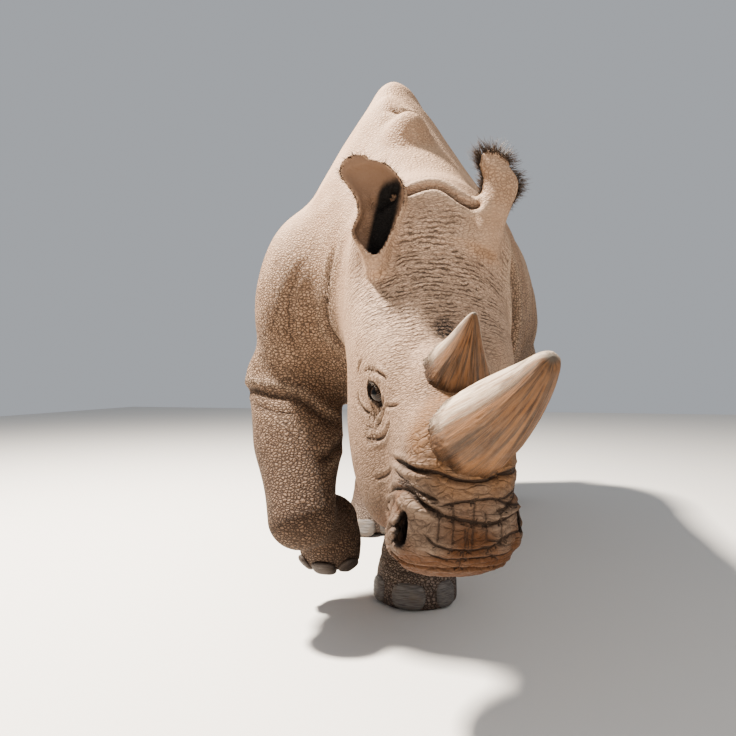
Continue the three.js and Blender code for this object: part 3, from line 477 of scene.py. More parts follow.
def crease(path, depth, width, roll=0.35, skew=0.0, head=True, mirror=None, fade=0.2):
    """Lowers the skin along a smooth path by depth exp(-(s / width)^2), with a roll on either side. The path
    is on the head or, with head False, in the animal's frame; mirror is the x about which it is repeated."""
    if mirror is not None:
        crease([(2 * mirror - x, y, z) for x, y, z in path], depth, width, roll, skew, head, None, fade)
    path = np.asarray(path, float)
    t = np.linspace(0, 1, len(path))
    line = fair(np.column_stack([t, path]), LINE_POINTS)[:, 1:]
    line = on_head(line) if head else line
    for _ in range(4):
        g = slope_of(hide, line)
        line -= np.clip(hide(line), -0.02, 0.02)[:, None] * g / (np.sum(g * g, 1, keepdims=True) + 1e-6)
    reach = 4.5 * width
    close = np.flatnonzero(((skin_points > line.min(0) - reach) & (skin_points < line.max(0) + reach)).all(1))
    gap = np.linalg.norm(skin_points[close, None] - line[None], axis=2)
    nearest = gap.argmin(1)
    ahead = np.gradient(line, axis=0)[nearest]
    offset = skin_points[close] - line[nearest]
    along = (offset * ahead).sum(1) / (ahead**2).sum(1)
    s = np.sqrt(np.maximum((offset**2).sum(1) - along**2 * (ahead**2).sum(1), 0))
    beyond = np.abs(along) > 1.5
    side = np.sign((np.cross(ahead, out[close]) * offset).sum(1))
    at = np.clip((nearest + along) / (LINE_POINTS - 1), 0, 1)
    taper = rise(at, 0, fade) * (1 - rise(at, 1 - fade, 1)) if fade else 1.0
    swell = roll * np.exp(-(((s - 2.1 * width) / (1.1 * width)) ** 2)) * (1 + skew * side)
    raised[close] += np.where(beyond, 0, depth * taper * (swell - np.exp(-((s / width) ** 2))))
    nearer = ~beyond & (s < line_gap[close]) & (depth > 0)
    for held_value, new in ((line_gap, s), (line_side, side), (line_depth, depth * taper + 0 * s)):
        held_value[close[nearer]] = new[nearer]


# Muzzle: deep level folds from nostril to nostril, a few upright cracks across them, and the mouth.
crease([(-0.125, 0.235, -0.02), (-0.123, 0.205, 0.03), (-0.105, 0.150, 0.10), (-0.072, 0.117, 0.151),
        (-0.03, 0.092, 0.165), (0.017, 0.090, 0.168), (0.055, 0.112, 0.157), (0.086, 0.16, 0.10),
        (0.104, 0.22, 0.03)], 0.0058, 0.0050, 0.30, fade=0.3)
crease([(-0.066, 0.067, 0.116), (-0.034, 0.065, 0.130), (0.001, 0.066, 0.138), (0.038, 0.070, 0.137),
        (0.070, 0.075, 0.115), (0.098, 0.10, 0.06)], 0.0040, 0.0042, 0.45)
crease([(-0.120, 0.130, 0.060), (-0.101, 0.097, 0.105), (-0.086, 0.076, 0.111), (-0.064, 0.058, 0.112),
        (-0.035, 0.047, 0.110), (0.006, 0.041, 0.107), (0.042, 0.043, 0.102), (0.082, 0.066, 0.095),
        (0.102, 0.1, 0.03)], 0.0052, 0.0045, 0.45)
crease([(-0.094, 0.045, 0.085), (-0.063, 0.012, 0.077), (-0.027, 0.004, 0.070), (0.010, 0.004, 0.070),
        (0.042, 0.010, 0.077), (0.076, 0.032, 0.078), (0.100, 0.07, 0.03)], 0.0048, 0.0045, 0.45)
crease([(-0.086, 0.018, 0.062), (-0.05, -0.002, 0.050), (0.0, -0.006, 0.050), (0.05, 0.0, 0.052),
        (0.088, 0.03, 0.045)], 0.003, 0.004, 0.4)
for x, low, high in [(-0.034, 0.046, 0.128), (0.001, 0.040, 0.160), (0.022, 0.012, 0.122),
                     (-0.058, 0.058, 0.116), (0.05, 0.05, 0.13), (-0.012, 0.01, 0.06)]:
    crease([(x, 0.02, low), (x + 0.002, 0.05, (low + high) / 2), (x - 0.001, 0.07, high)],
           0.0018, 0.0036, 0.2)
MOUTH = [(0.119, 0.150, -0.075), (0.118, 0.110, -0.058), (0.116, 0.060, -0.036), (0.102, 0.016, -0.006),
         (0.06, -0.004, 0.014), (0.0, -0.008, 0.022)]
MOUTH = [(x - 0.011, y, z) for x, y, z in MOUTH + [(-x, y, z) for x, y, z in MOUTH[-2::-1]]]
crease(MOUTH, 0.009, 0.0050, 0.4, fade=0.08)

# Nostrils: a rounded wing hangs over each opening; folds run back and up from it and a fan of furrows lies
# below, half as deep on the left side.
crease([(-0.120, 0.110, 0.050), (-0.108, 0.088, 0.080), (-0.092, 0.070, 0.098), (-0.070, 0.058, 0.105)],
       -0.009, 0.009, 0.0, mirror=-0.011)
for path, depth in [
        ([(-0.126, 0.170, -0.068), (-0.120, 0.141, 0.025), (-0.108, 0.107, 0.093), (-0.085, 0.074, 0.108),
          (-0.050, 0.055, 0.109)], 0.0065),
        ([(-0.117, 0.141, 0.060), (-0.103, 0.110, 0.102), (-0.082, 0.088, 0.118), (-0.056, 0.074, 0.122)],
         0.005),
        ([(-0.122, 0.206, 0.024), (-0.113, 0.166, 0.090), (-0.098, 0.134, 0.123), (-0.061, 0.114, 0.149)],
         0.006),
        ([(-0.121, 0.178, 0.032), (-0.115, 0.144, 0.073), (-0.098, 0.112, 0.112)], 0.004),
        ([(-0.112, 0.075, 0.060), (-0.128, 0.060, 0.036), (-0.130, 0.050, 0.005), (-0.125, 0.045, -0.030)],
         0.005),
        ([(-0.108, 0.056, 0.050), (-0.124, 0.040, 0.040), (-0.128, 0.028, 0.010)], 0.004),
        ([(-0.128, 0.088, 0.045), (-0.131, 0.078, 0.000), (-0.128, 0.070, -0.045)], 0.0045),
        ([(-0.126, 0.118, 0.040), (-0.130, 0.110, -0.005), (-0.128, 0.105, -0.050)], 0.004),
        ([(-0.124, 0.150, 0.030), (-0.128, 0.145, -0.020), (-0.126, 0.150, -0.070)], 0.004),
        ([(-0.124, 0.195, 0.010), (-0.130, 0.200, -0.040), (-0.130, 0.215, -0.090)], 0.003)]:
    crease(path, depth, 0.0045, 0.5)
    crease([(-0.022 - x, y, z) for x, y, z in path], 0.5 * depth, 0.0045, 0.4)

# Eyes: a fold over the upper lid, a ring under the lower one, and bags below and in front of the eye.
for path, depth, width in [
        ([(-0.172, 0.432, -0.010), (-0.164, 0.422, 0.022), (-0.152, 0.401, 0.048), (-0.136, 0.372, 0.069),
          (-0.129, 0.351, 0.071)], 0.0045, 0.0042),
        ([(-0.174, 0.416, -0.025), (-0.177, 0.402, -0.047), (-0.171, 0.375, -0.049), (-0.159, 0.350, -0.037),
          (-0.146, 0.331, -0.020), (-0.137, 0.325, 0.013), (-0.136, 0.333, 0.042), (-0.136, 0.348, 0.058)],
          0.0050, 0.0042),
        ([(-0.166, 0.333, -0.059), (-0.152, 0.311, -0.038), (-0.141, 0.306, -0.012),
          (-0.135, 0.311, 0.022), (-0.132, 0.324, 0.050)], 0.0045, 0.0045),
        ([(-0.163, 0.310, -0.066), (-0.153, 0.289, -0.048), (-0.136, 0.275, -0.015),
          (-0.128, 0.270, 0.029), (-0.122, 0.285, 0.056)], 0.0060, 0.0050),
        ([(-0.134, 0.322, 0.036), (-0.124, 0.305, 0.062), (-0.105, 0.292, 0.092)], 0.0035, 0.0040),
        ([(-0.178, 0.440, -0.030), (-0.172, 0.455, -0.010), (-0.160, 0.462, 0.020)], 0.0030, 0.0042)]:
    crease(path, depth, width, 0.6, mirror=0.0, fade=0.32)

# Forehead: level wrinkles, close together between the ears.
off_ears = rise(np.minimum(ear_left.s(skin_points), ear_right.s(skin_points)), 0.004, 0.03)
forehead = near_ball(on_skull, (0, 0.66, 0.10), (0.17, 0.17, 0.10), 0.4) * off_ears
level = on_skull[:, 1] + 0.9 * on_skull[:, 0] ** 2 + 0.008 * ripple(on_skull, 0.10, 5)
lines = np.sin(level / 0.0205 * 2 * np.pi)
raised += 0.0016 * forehead * lines * (0.6 + 0.4 * ripple(on_skull, 0.06, 8))

# Poll and neck: the nape hangs in a roll over the head's back; slacker folds run down behind the cheeks.
crease([(-0.135, 0.80, 0.10), (-0.083, 0.822, 0.170), (-0.005, 0.842, 0.190), (0.06, 0.80, 0.185),
        (0.13, 0.80, 0.09)], 0.011, 0.010, 0.55, fade=0.12)
NECK_FOLDS = [
    ([(0.30, -0.40, 1.10), (0.40, -0.40, 0.95), (0.40, -0.36, 0.78), (0.33, -0.33, 0.64)], 0.016, 0.020),
    ([(0.30, -0.24, 1.25), (0.41, -0.20, 1.02), (0.43, -0.15, 0.80), (0.36, -0.17, 0.64)], 0.014, 0.022),
    ([(0.33, 0.16, 1.30), (0.43, 0.22, 1.08), (0.46, 0.24, 0.85), (0.42, 0.22, 0.66)], 0.012, 0.028),
    ([(-0.06, -0.46, 1.10), (-0.12, -0.44, 0.96), (-0.13, -0.42, 0.82), (-0.08, -0.42, 0.68)], 0.007, 0.014),
    ([(-0.13, -0.40, 1.16), (-0.20, -0.38, 1.00), (-0.21, -0.37, 0.84), (-0.17, -0.36, 0.72)], 0.003, 0.012),
    ([(-0.33, 0.42, 1.30), (-0.42, 0.45, 1.08), (-0.46, 0.45, 0.85), (-0.42, 0.42, 0.64)], 0.006, 0.024),
]
for path, depth, width in NECK_FOLDS:
    crease(path, depth, width, 0.5, head=False)

# Shoulders and fore legs: the skin hangs in an apron over each leg and bunches at the elbow and the knee.
crease([(-0.42, -0.14, 0.66), (-0.38, -0.25, 0.675), (-0.284, -0.32, 0.662), (-0.19, -0.32, 0.648),
        (-0.12, -0.30, 0.60), (-0.08, -0.22, 0.56)], 0.012, 0.012, 0.35, skew=-0.9, head=False, fade=0.15)
crease([(-0.36, -0.26, 0.63), (-0.27, -0.34, 0.615), (-0.18, -0.33, 0.60)], 0.005, 0.010, 0.4, head=False)
crease([(-0.10, -0.20, 0.52), (-0.10, -0.29, 0.50), (-0.14, -0.35, 0.46)], 0.009, 0.012, 0.5, head=False)
crease([(0.30, -0.12, 0.66), (0.18, -0.20, 0.62), (0.06, -0.18, 0.60), (-0.02, -0.08, 0.60)],
       0.016, 0.018, 0.6, head=False)
for z in (0.34, 0.385, 0.43):
    crease([(0.00, 0.03, z), (0.03, -0.09, z - 0.012), (0.12, -0.128, z - 0.018), (0.21, -0.08, z - 0.010),
            (0.235, 0.03, z)], 0.005, 0.011, 0.5, head=False)
for z in (0.105, 0.135):
    crease([(-0.02, 0.04, z), (0.02, -0.08, z), (0.10, -0.125, z + 0.004), (0.18, -0.08, z), (0.22, 0.04, z)],
           0.004, 0.009, 0.5, head=False)

# Trunk: slack folds in the flanks, before the thighs, over the rump and beside the tail; faint ribs.
BODY_FOLDS = [
    ([(0.40, 0.34, 0.66), (0.47, 0.55, 0.60), (0.46, 0.80, 0.60), (0.40, 1.02, 0.62)], 0.010, 0.030),
    ([(-0.40, 0.30, 0.64), (-0.46, 0.48, 0.58), (-0.42, 0.66, 0.56)], 0.010, 0.028),
    ([(0.40, 1.10, 1.20), (0.46, 1.16, 1.00), (0.45, 1.18, 0.80), (0.34, 1.18, 0.62)], 0.020, 0.034),
    ([(-0.40, 0.72, 1.16), (-0.48, 0.72, 0.98), (-0.48, 0.72, 0.80), (-0.40, 0.74, 0.62)], 0.018, 0.032),
    ([(0.10, 1.92, 1.34), (0.16, 1.92, 1.16), (0.15, 1.90, 0.98), (0.10, 1.86, 0.82)], 0.016, 0.030),
    ([(-0.10, 1.92, 1.34), (-0.16, 1.90, 1.16), (-0.15, 1.86, 0.98), (-0.10, 1.82, 0.82)], 0.016, 0.030),
    ([(0.34, 1.66, 0.62), (0.27, 1.66, 0.585), (0.16, 1.68, 0.60)], 0.010, 0.026),
    ([(-0.36, 0.92, 0.60), (-0.28, 0.90, 0.57), (-0.18, 0.94, 0.58)], 0.010, 0.026),
]
for path, depth, width in BODY_FOLDS:
    crease(path, depth, width, 0.5, head=False)
crease([(0.045, -0.20, 1.46), (0.10, -0.245, 1.478), (0.165, -0.20, 1.47)], 0.008, 0.013, 0.7, head=False)
on_trunk = rise(skin_points[:, 1], -0.15, 0.25)
ribs = np.sin(skin_points[:, 1] / 0.105 * 2 * np.pi + 2.0 * skin_points[:, 2])
flank = near_ball(skin_points, (0, 0.72, 0.98), (0.60, 0.42, 0.32), 0.4)
flank = flank * rise(np.abs(skin_points[:, 0]), 0.25, 0.4)
raised += 0.0025 * ribs * flank + 0.006 * on_trunk * ripple(skin_points, 0.42, 11)
raised += 0.0022 * (0.35 + 0.65 * on_trunk) * ripple(skin_points, 0.13, 12)
slack = near_ball(on_skull, (0, 0.10, 0.02), (0.15, 0.16, 0.16), 0.3)
raised += 0.0009 * slack * ripple(on_skull, 0.022, 13)

floor_share = rise(skin_points[:, 2], 0.012, 0.05)
rim = near_ball(on_skull, (0, EYE_BACK - 0.006, EYE_HEIGHT), (1.0, 0.034, 0.024), 0.25)
raised *= floor_share * (1 - 0.9 * rim)
skin_points = skin_points + raised[:, None] * out
skin_points[:, 2] = np.maximum(skin_points[:, 2], 0)
# Where the folds sink the hide, a share for painting it darker: painted shade in the creases, with some dirt.
cavity = np.clip(-raised / 0.007, 0, 1)


# ----------------------------------------------------------------------------------------------------
# Skin, last part: its mesh and its finish. Bare hide, tan and umber in patches, lighter where it faces up and
# darker towards the ground, greyer on the muzzle, stained by earth on the lips; pebbled on trunk and limbs,
# lined on the head; its cracks, creases, hollows, openings and ear cups darkened as painted shade, with some
# dirt in the creases, and its raised ridges lighter as wear and painted highlight.
MIDDLE = np.array(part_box("eye_right")).mean(0) - on_head([(-EYE_OUT, EYE_BACK, EYE_HEIGHT)])[0]


def add_mesh(name, points, faces, smooth=True):
    """A mesh object at the origin, its points moved from the animal's frame into the part's."""
    mesh = bpy.data.meshes.new(name)
    mesh.from_pydata((points + MIDDLE).tolist(), [], faces.tolist())
    mesh.polygons.foreach_set("use_smooth", np.full(len(mesh.polygons), smooth))
    mesh.update()
    thing = bpy.data.objects.new(name, mesh)
    bpy.context.scene.collection.objects.link(thing)
    return thing


def mark(thing, name, values):
    """Stores one number or vector for each vertex."""
    values = np.asarray(values, np.float32)
    kind, field = ("FLOAT", "value") if values.ndim == 1 else ("FLOAT_VECTOR", "vector")
    thing.data.attributes.new(name, kind, "POINT").data.foreach_set(field, values.ravel())


def surface_finish(name):
    """An empty material's node tree with its Principled shader, and makers of nodes, sums and blends."""
    finish = bpy.data.materials.new(name)
    finish.use_nodes = True
    tree = finish.node_tree
    shader = tree.nodes["Principled BSDF"]

    def node(kind, settings=None, **inputs):
        made = tree.nodes.new("ShaderNode" + kind)
        for key, value in (settings or {}).items():
            setattr(made, key, value)
        for key, value in inputs.items():
            socket = made.inputs[int(key[1:])] if key[0] == "_" else made.inputs[key.replace("_", " ")]
            if isinstance(value, bpy.types.NodeSocket):
                tree.links.new(value, socket)
            else:
                socket.default_value = value
        return made.outputs

    def noise(at, scale, detail, roughness=0.5):
        return node("TexNoise", Vector=at, Scale=scale, Detail=detail, Roughness=roughness)[0]

    def sum_of(kind, a, b=0.0, c=0.0):
        return node("Math", {"operation": kind}, _0=a, _1=b, _2=c)[0]

    def blend(share, a, b, kind="MIX"):
        return node("Mix", {"data_type": "RGBA", "blend_type": kind}, _0=share, _6=a, _7=b)[2]

    def between(value, low, high, to_low=0.0, to_high=1.0):
        return node("MapRange", {"interpolation_type": "SMOOTHSTEP"}, Value=value,
                    From_Min=low, From_Max=high, To_Min=to_low, To_Max=to_high)[0]

    return finish, tree, shader, node, noise, sum_of, blend, between


skin = add_mesh("skin", skin_points, skin_quads)
ear_depth = np.zeros(len(skin_points))
# The insides of the ears: a dark brown lining, partly their own colour and partly painted shade, and
# near-black deep in each cup as painted shade.
for ear, middle, slant in ((ear_left, 0.0, 0.0), (ear_right, -0.022, 0.44)):
    q = skin_points - ear.s.o
    t, u = q @ ear.s.e, q @ ear.s.u
    off_u, off_v, a, b = ear.s.section(t)
    deep = np.hypot((u - off_u) / a, (q @ ear.s.v - off_v) / b) < 0.8
    inner = (deep | (ear.s(skin_points) < -EAR_WALL * 0.1)) & (t > -0.01) & (t < 0.26)
    cup_shade = np.exp(-(((u - middle - slant * t) / 0.031) ** 4)) * (1 - rise(t, 0.145, 0.20))
    ear_depth = np.maximum(ear_depth, inner * (0.30 + 0.70 * cup_shade))
l, b, d = on_skull.T
lips = 1 - rise(d - 0.55 * b - 0.03 * np.cos(l / 0.13 * 3) + 0.010 * ripple(on_skull, 0.05, 9), 0.042, 0.072)
lips = lips * (1 - rise(b, 0.10, 0.16)) * (b < 0.3)
lips = lips * (1 - 0.8 * rise(np.abs(l + 0.011), 0.106, 0.120) * rise(d, -0.09, -0.04))
muzzle = (1 - rise(b - 0.35 * d, 0.12, 0.20)) * (np.abs(l) < 0.3) * (d < 0.3)
on_head_share = 1 - rise(head(skin_points), 0.01, 0.10)
fold_values = np.stack([np.clip(line_gap, 0, 0.1) * line_side, np.clip(line_gap / cell, 0, 9),
                        np.clip(line_depth / 0.008, 0, 1)], 1)
up, by_eyes = skin_points[:, 2], np.abs(skin_points[:, 1] - FACE_MIDDLE) < FACE_REACH
for name, values in {
        "skull": on_skull, "cavity": cavity, "line": fold_values, "ear_inside": ear_depth, "lips": lips,
        # Raised ridges, painted lighter: partly wear and partly painted highlight.
        "muzzle": muzzle, "head": on_head_share, "worn": np.clip(raised / 0.005, 0, 1),
        # Painted shade: near-black at the rims of the eye slits and the nostrils.
        "lid": (1 - rise(openings(skin_points), 0.0005, 0.0045)) * by_eyes,
        # Painted shade in hollows: darker where other skin lies close outside the surface.
        "hollow": 1 - np.clip(hide(skin_points + 0.05 * out) / 0.05, 0, 1),
        "brow_lines": near_ball(on_skull, (0, 0.64, 0.08), (0.21, 0.24, 0.16), 0.4) * off_ears,
        "horn_seat": near_ball(on_skull, (0, 0.185, 0.15), (0.112, 0.118, 0.10), 0.18),
        "scar": near_ball(on_skull, (-0.008, 0.47, 0.13), (0.024, 0.035, 0.05), 0.5),
        # The hide is painted darker towards the ground, below about a metre.
        "earth": 1 - rise(up, 0.30, 0.98), "trodden": 1 - rise(up, 0.06, 0.20),
        # Lighter where the hide faces up.
        "pebbled": 1 - 0.62 * rise(up, 0.85, 1.30), "dust": rise(out[:, 2], 0.2, 0.95)}.items():
    mark(skin, name, values)

finish, tree, shader, node, noise, sum_of, blend, between = surface_finish("hide")
place = node("TexCoord")["Object"]


def held(name, output="Fac"):
    """A value stored on the vertices, for the finish being made."""
    return node("Attribute", {"attribute_name": name})[output]


drift = noise(place, 2.2, 6.0, 0.6)
blotch = noise(place, 13.0, 6.0, 0.65)
grain = noise(place, 170.0, 4.0, 0.7)
bend = node("TexNoise", Vector=place, Scale=30.0, Detail=3.0)[1]


def cells(scale, x=1.0, y=1.0, z=1.0, source=place, sway=0.010):
    """Distance to the edge in a field of polygons, stretched along the axes and bent by noise."""
    bent = node("VectorMath", {"operation": "MULTIPLY_ADD"}, _0=bend, _1=(sway, sway, sway), _2=source)[0]
    squeezed = node("VectorMath", {"operation": "MULTIPLY"}, _0=bent, _1=(x, y, z))[0]
    return node("TexVoronoi", {"feature": "DISTANCE_TO_EDGE"}, Vector=squeezed, Scale=scale,
                Randomness=0.95)[0]


def of(a, b):
    """The product of two values."""
    return sum_of("MULTIPLY", a, b)


def less(a):
    """One less a value."""
    return sum_of("SUBTRACT", 1.0, a)


def dress(colour, roughness, height):
    """Gives the finish being made its colour, its roughness and the bump of a height in metres."""
    bump = node("Bump", Strength=1.0, Distance=1.0, Height=height)[0]
    for value, socket in ((colour, "Base Color"), (roughness, "Roughness"), (bump, "Normal")):
        tree.links.new(value, shader.inputs[socket])


pebble, pimple = cells(92.0, z=1.35), cells(190.0, z=1.2)
skull_place = held("skull", "Vector")
wrinkle = cells(34.0, 1.0, 3.6, 1.0, skull_place, 0.016)
crinkle = cells(85.0, 1.0, 2.4, 1.0, skull_place, 0.010)
plates = cells(34.0, 0.75, 1.9, 1.9, skull_place, 0.022)
on_face, lines_share, muzzle_share = held("head"), held("brow_lines"), held("muzzle")
off_face = of(of(less(on_face), held("pebbled")), less(between(held("ear_inside"), 0.0, 0.3)))
stone, stone_crack = between(pebble, 0.02, 0.36), less(between(pebble, 0.03, 0.20))
fine_stone, fine_crack = between(pimple, 0.0, 0.34), less(between(pimple, 0.03, 0.22))
lined = of(on_face, sum_of("MULTIPLY_ADD", lines_share, 0.75, 0.25))
weave = node("TexWave", {"wave_type": "BANDS", "bands_direction": "Y"}, Vector=skull_place, Scale=27.0,
             Distortion=9.0, Detail=4.0, Detail_Scale=0.80, Detail_Roughness=0.65)[1]
broken = noise(skull_place, 30.0, 4.0, 0.65)
wave_crack = of(less(between(weave, 0.04, 0.42)), between(broken, 0.40, 0.56))
line = between(wrinkle, 0.0, 0.22)
line_crack = of(less(between(wrinkle, 0.01, 0.10)), sum_of("MULTIPLY_ADD", lines_share, -0.35, 0.80))
thin, thin_crack = between(crinkle, 0.0, 0.26), less(between(crinkle, 0.02, 0.15))
plate, plate_crack = between(plates, 0.0, 0.18), less(between(plates, 0.005, 0.055))

# A dark line painted along each crease as its shadow (painted shadow), strongest on the muzzle and face; the
# same line also sinks the bump.
fold = node("SeparateXYZ", Vector=held("line", "Vector"))
wander = of(sum_of("SUBTRACT", noise(place, 75.0, 4.0), 0.5), 0.0035)
off_line = sum_of("ABSOLUTE", sum_of("ADD", fold[0], wander))
off_line = sum_of("DIVIDE", off_line, sum_of("MULTIPLY_ADD", fold[2], 0.0022, 0.0010))
line_shade_weight = sum_of("MULTIPLY_ADD", muzzle_share, 0.35, sum_of("MULTIPLY_ADD", on_face, 0.30, 0.30))
fold_line = of(of(less(between(off_line, 0.4, 1.5)), line_shade_weight),
               of(less(between(fold[1], 1.0, 1.5)), between(fold[2], 0.04, 0.35)))

SAND, TAN, UMBER = (0.59, 0.410, 0.285, 1), (0.46, 0.298, 0.194, 1), (0.36, 0.222, 0.138, 1)
GREY, STAIN, CRACK_SHADE = (0.150, 0.104, 0.075, 1), (0.088, 0.032, 0.009, 1), (0.032, 0.018, 0.011, 1)
colour = blend(between(drift, 0.30, 0.66), UMBER, TAN)
for share, tint in (
        # The hide is lighter where it faces up.
        (between(blotch, 0.38, 0.70, 0.0, 0.55), SAND), (of(held("dust"), 0.68), (0.60, 0.410, 0.275, 1)),
        (of(on_face, 0.50), (0.53, 0.362, 0.252, 1)), (of(lines_share, 0.45), (0.66, 0.47, 0.35, 1)),
        # Darker towards the ground.
        (of(held("earth"), 0.92), (0.092, 0.056, 0.038, 1)),
        (of(held("trodden"), 0.75), (0.270, 0.225, 0.200, 1)), (of(muzzle_share, 0.80), GREY),
        (of(held("horn_seat"), between(blotch, 0.30, 0.62, 0.25, 0.85)), (0.21, 0.105, 0.045, 1)),
        (of(held("lips"), between(blotch, 0.25, 0.6, 0.72, 1.0)), STAIN),
        (of(held("scar"), between(grain, 0.4, 0.55)), (0.055, 0.05, 0.05, 1)),
        (of(stone, of(off_face, 0.16)), SAND),
        # Raised ridges painted lighter: partly wear, partly painted highlight.
        (of(held("worn"), sum_of("MULTIPLY_ADD", muzzle_share, -0.22, 0.32)), (0.60, 0.46, 0.34, 1))):
    colour = blend(share, colour, tint)
# The cracks between the pebbles and along the wrinkles are painted near-black: painted shade in the cracks.
cracks = of(stone_crack, of(off_face, 0.86))
for crack in (of(fine_crack, of(off_face, 0.30)), of(line_crack, of(lined, 0.60)),
              of(wave_crack, of(on_face, sum_of("MULTIPLY_ADD", lines_share, 0.72, 0.08))),
              of(thin_crack, of(on_face, sum_of("MULTIPLY_ADD", muzzle_share, -0.25, 0.52))),
              of(plate_crack, of(muzzle_share, 0.50))):
    cracks = sum_of("MAXIMUM", cracks, crack)
# Painted shade: near-black in the cracks, darker in hollows and creases (with some dirt), a dark line along
# each crease, near-black at the rims of the eye slits and nostrils, and dark inside the ears.
for share, tint in (
        (cracks, CRACK_SHADE), (of(held("hollow"), 0.30), (0.10, 0.062, 0.040, 1)),
        (of(held("cavity"), 0.42), (0.045, 0.028, 0.020, 1)), (of(fold_line, 0.92), (0.030, 0.018, 0.012, 1)),
        (of(held("lid"), 0.90), (0.022, 0.016, 0.013, 1)),
        (between(held("ear_inside"), 0.0, 0.28, 0.0, 0.82), (0.150, 0.088, 0.056, 1)),
        (between(held("ear_inside"), 0.36, 0.85), (0.006, 0.004, 0.003, 1))):
    colour = blend(share, colour, tint)
shader.inputs["Specular IOR Level"].default_value = 0.30
height = of(of(stone, off_face), 0.0034)
for part, much in ((of(fine_stone, off_face), 0.0007), (of(line, lined), 0.0022),
                   (of(wave_crack, of(on_face, lines_share)), -0.0034),
                   (of(thin, of(on_face, less(muzzle_share))), 0.0010), (fold_line, -0.0030),
                   (of(plate, muzzle_share), 0.0018), (grain, 0.0006), (blotch, 0.005)):
    height = sum_of("MULTIPLY_ADD", part, much, height)
dress(colour, between(grain, 0.3, 0.7, 0.66, 0.90), height)
skin.data.materials.append(finish)
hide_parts("head", "neck", "trunk", "tail", "leg_fore_left", "leg_fore_right", "leg_hind_left",
            "leg_hind_right", "ear_left", "ear_right")
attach(skin, "root")

# ----------------------------------------------------------------------------------------------------
# Eyes: a globe set behind the lids, with a clear raised cornea over a dark brown iris and a level oval pupil.


def tube_faces(rows, columns):
    """Quads of a grid of rows by columns that closes on itself along the columns."""
    i, j = np.meshgrid(np.arange(rows - 1), np.arange(columns), indexing="ij")
    a, b = i * columns + j, i * columns + (j + 1) % columns
    return np.stack([a, b, b + columns, a + columns], -1).reshape(-1, 4)


GLOBE_ROWS, GLOBE_COLUMNS = 49, 64


def globe_grid(rows):
    """The angle from the front pole and the angle round it, in rows."""
    round_it = np.linspace(0, 2 * np.pi, GLOBE_COLUMNS, endpoint=False)
    return np.meshgrid(np.linspace(0, np.pi, rows), round_it, indexing="ij")


finish, tree, shader, node, noise, sum_of, blend, between = surface_finish("eye_wet")
gaze = held("gaze", "Vector")
parts = node("SeparateXYZ", Vector=gaze)
fibre = noise(gaze, 9.0, 4.0)
iris = blend(between(fibre, 0.35, 0.65), (0.010, 0.006, 0.004, 1), (0.030, 0.015, 0.008, 1))
wide = sum_of("POWER", of(parts[0], 1 / 0.30), 2.0)
tall = sum_of("POWER", of(parts[1], 1 / 0.20), 2.0)
pupil = between(sum_of("ADD", wide, tall), 0.75, 1.1)
colour = blend(pupil, (0.003, 0.003, 0.003, 1), iris)
colour = blend(less(between(parts[2], 0.52, 0.62)), colour, (0.020, 0.013, 0.010, 1))
tree.links.new(colour, shader.inputs["Base Color"])
shader.inputs["Roughness"].default_value = 0.06
shader.inputs["IOR"].default_value = 1.38
for word, s in (("left", LEFT), ("right", RIGHT)):
    theta, phi = globe_grid(GLOBE_ROWS)
    local = [np.sin(theta) * np.cos(phi), np.sin(theta) * np.sin(phi), np.cos(theta)]
    local = np.stack(local, -1).reshape(-1, 3)
    radius = EYE_RADIUS * (1 + 0.045 * rise(local[:, 2], 0.70, 0.95))
    globe = on_head((s * EYE_OUT, EYE_BACK, EYE_HEIGHT) + (local * radius[:, None]) @ np.array(eye_axes(s)))
    faces = tube_faces(GLOBE_ROWS, GLOBE_COLUMNS)
    eye = add_mesh("globe_" + word, globe, faces if s == LEFT else faces[:, ::-1])
    mark(eye, "gaze", local)
    eye.data.materials.append(finish)
    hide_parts("eye_" + word)
    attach(eye, "root")

# ----------------------------------------------------------------------------------------------------
# Horns: solid keratin, grown in fibres from a rough base ring and worn smooth above; the front one sweeps
# forward to a blunt grey tip, and both are dark brown on the side turned to the ground, partly stain and
# partly painted shade.
FRONT_HORN = [(0.196, 0.120, 0.080, 0.084, 2), (0.180, 0.175, 0.073, 0.078, 8),
              (0.150, 0.265, 0.062, 0.070, 15), (0.117, 0.375, 0.044, 0.052, 17),
              (0.096, 0.462, 0.029, 0.034, 12), (0.088, 0.513, 0.018, 0.021, 6),
              (0.086, 0.531, 0.012, 0.012, 5), (0.086, 0.5375, 0.0003, 0.0003, 5)]
REAR_HORN = [(0.345, 0.115, 0.074, 0.082, 0), (0.345, 0.16, 0.056, 0.064, 0), (0.350, 0.21, 0.036, 0.042, 0),
             (0.358, 0.26, 0.018, 0.022, 0), (0.363, 0.286, 0.007, 0.008, 0),
             (0.364, 0.2925, 0.0003, 0.0003, 0)]


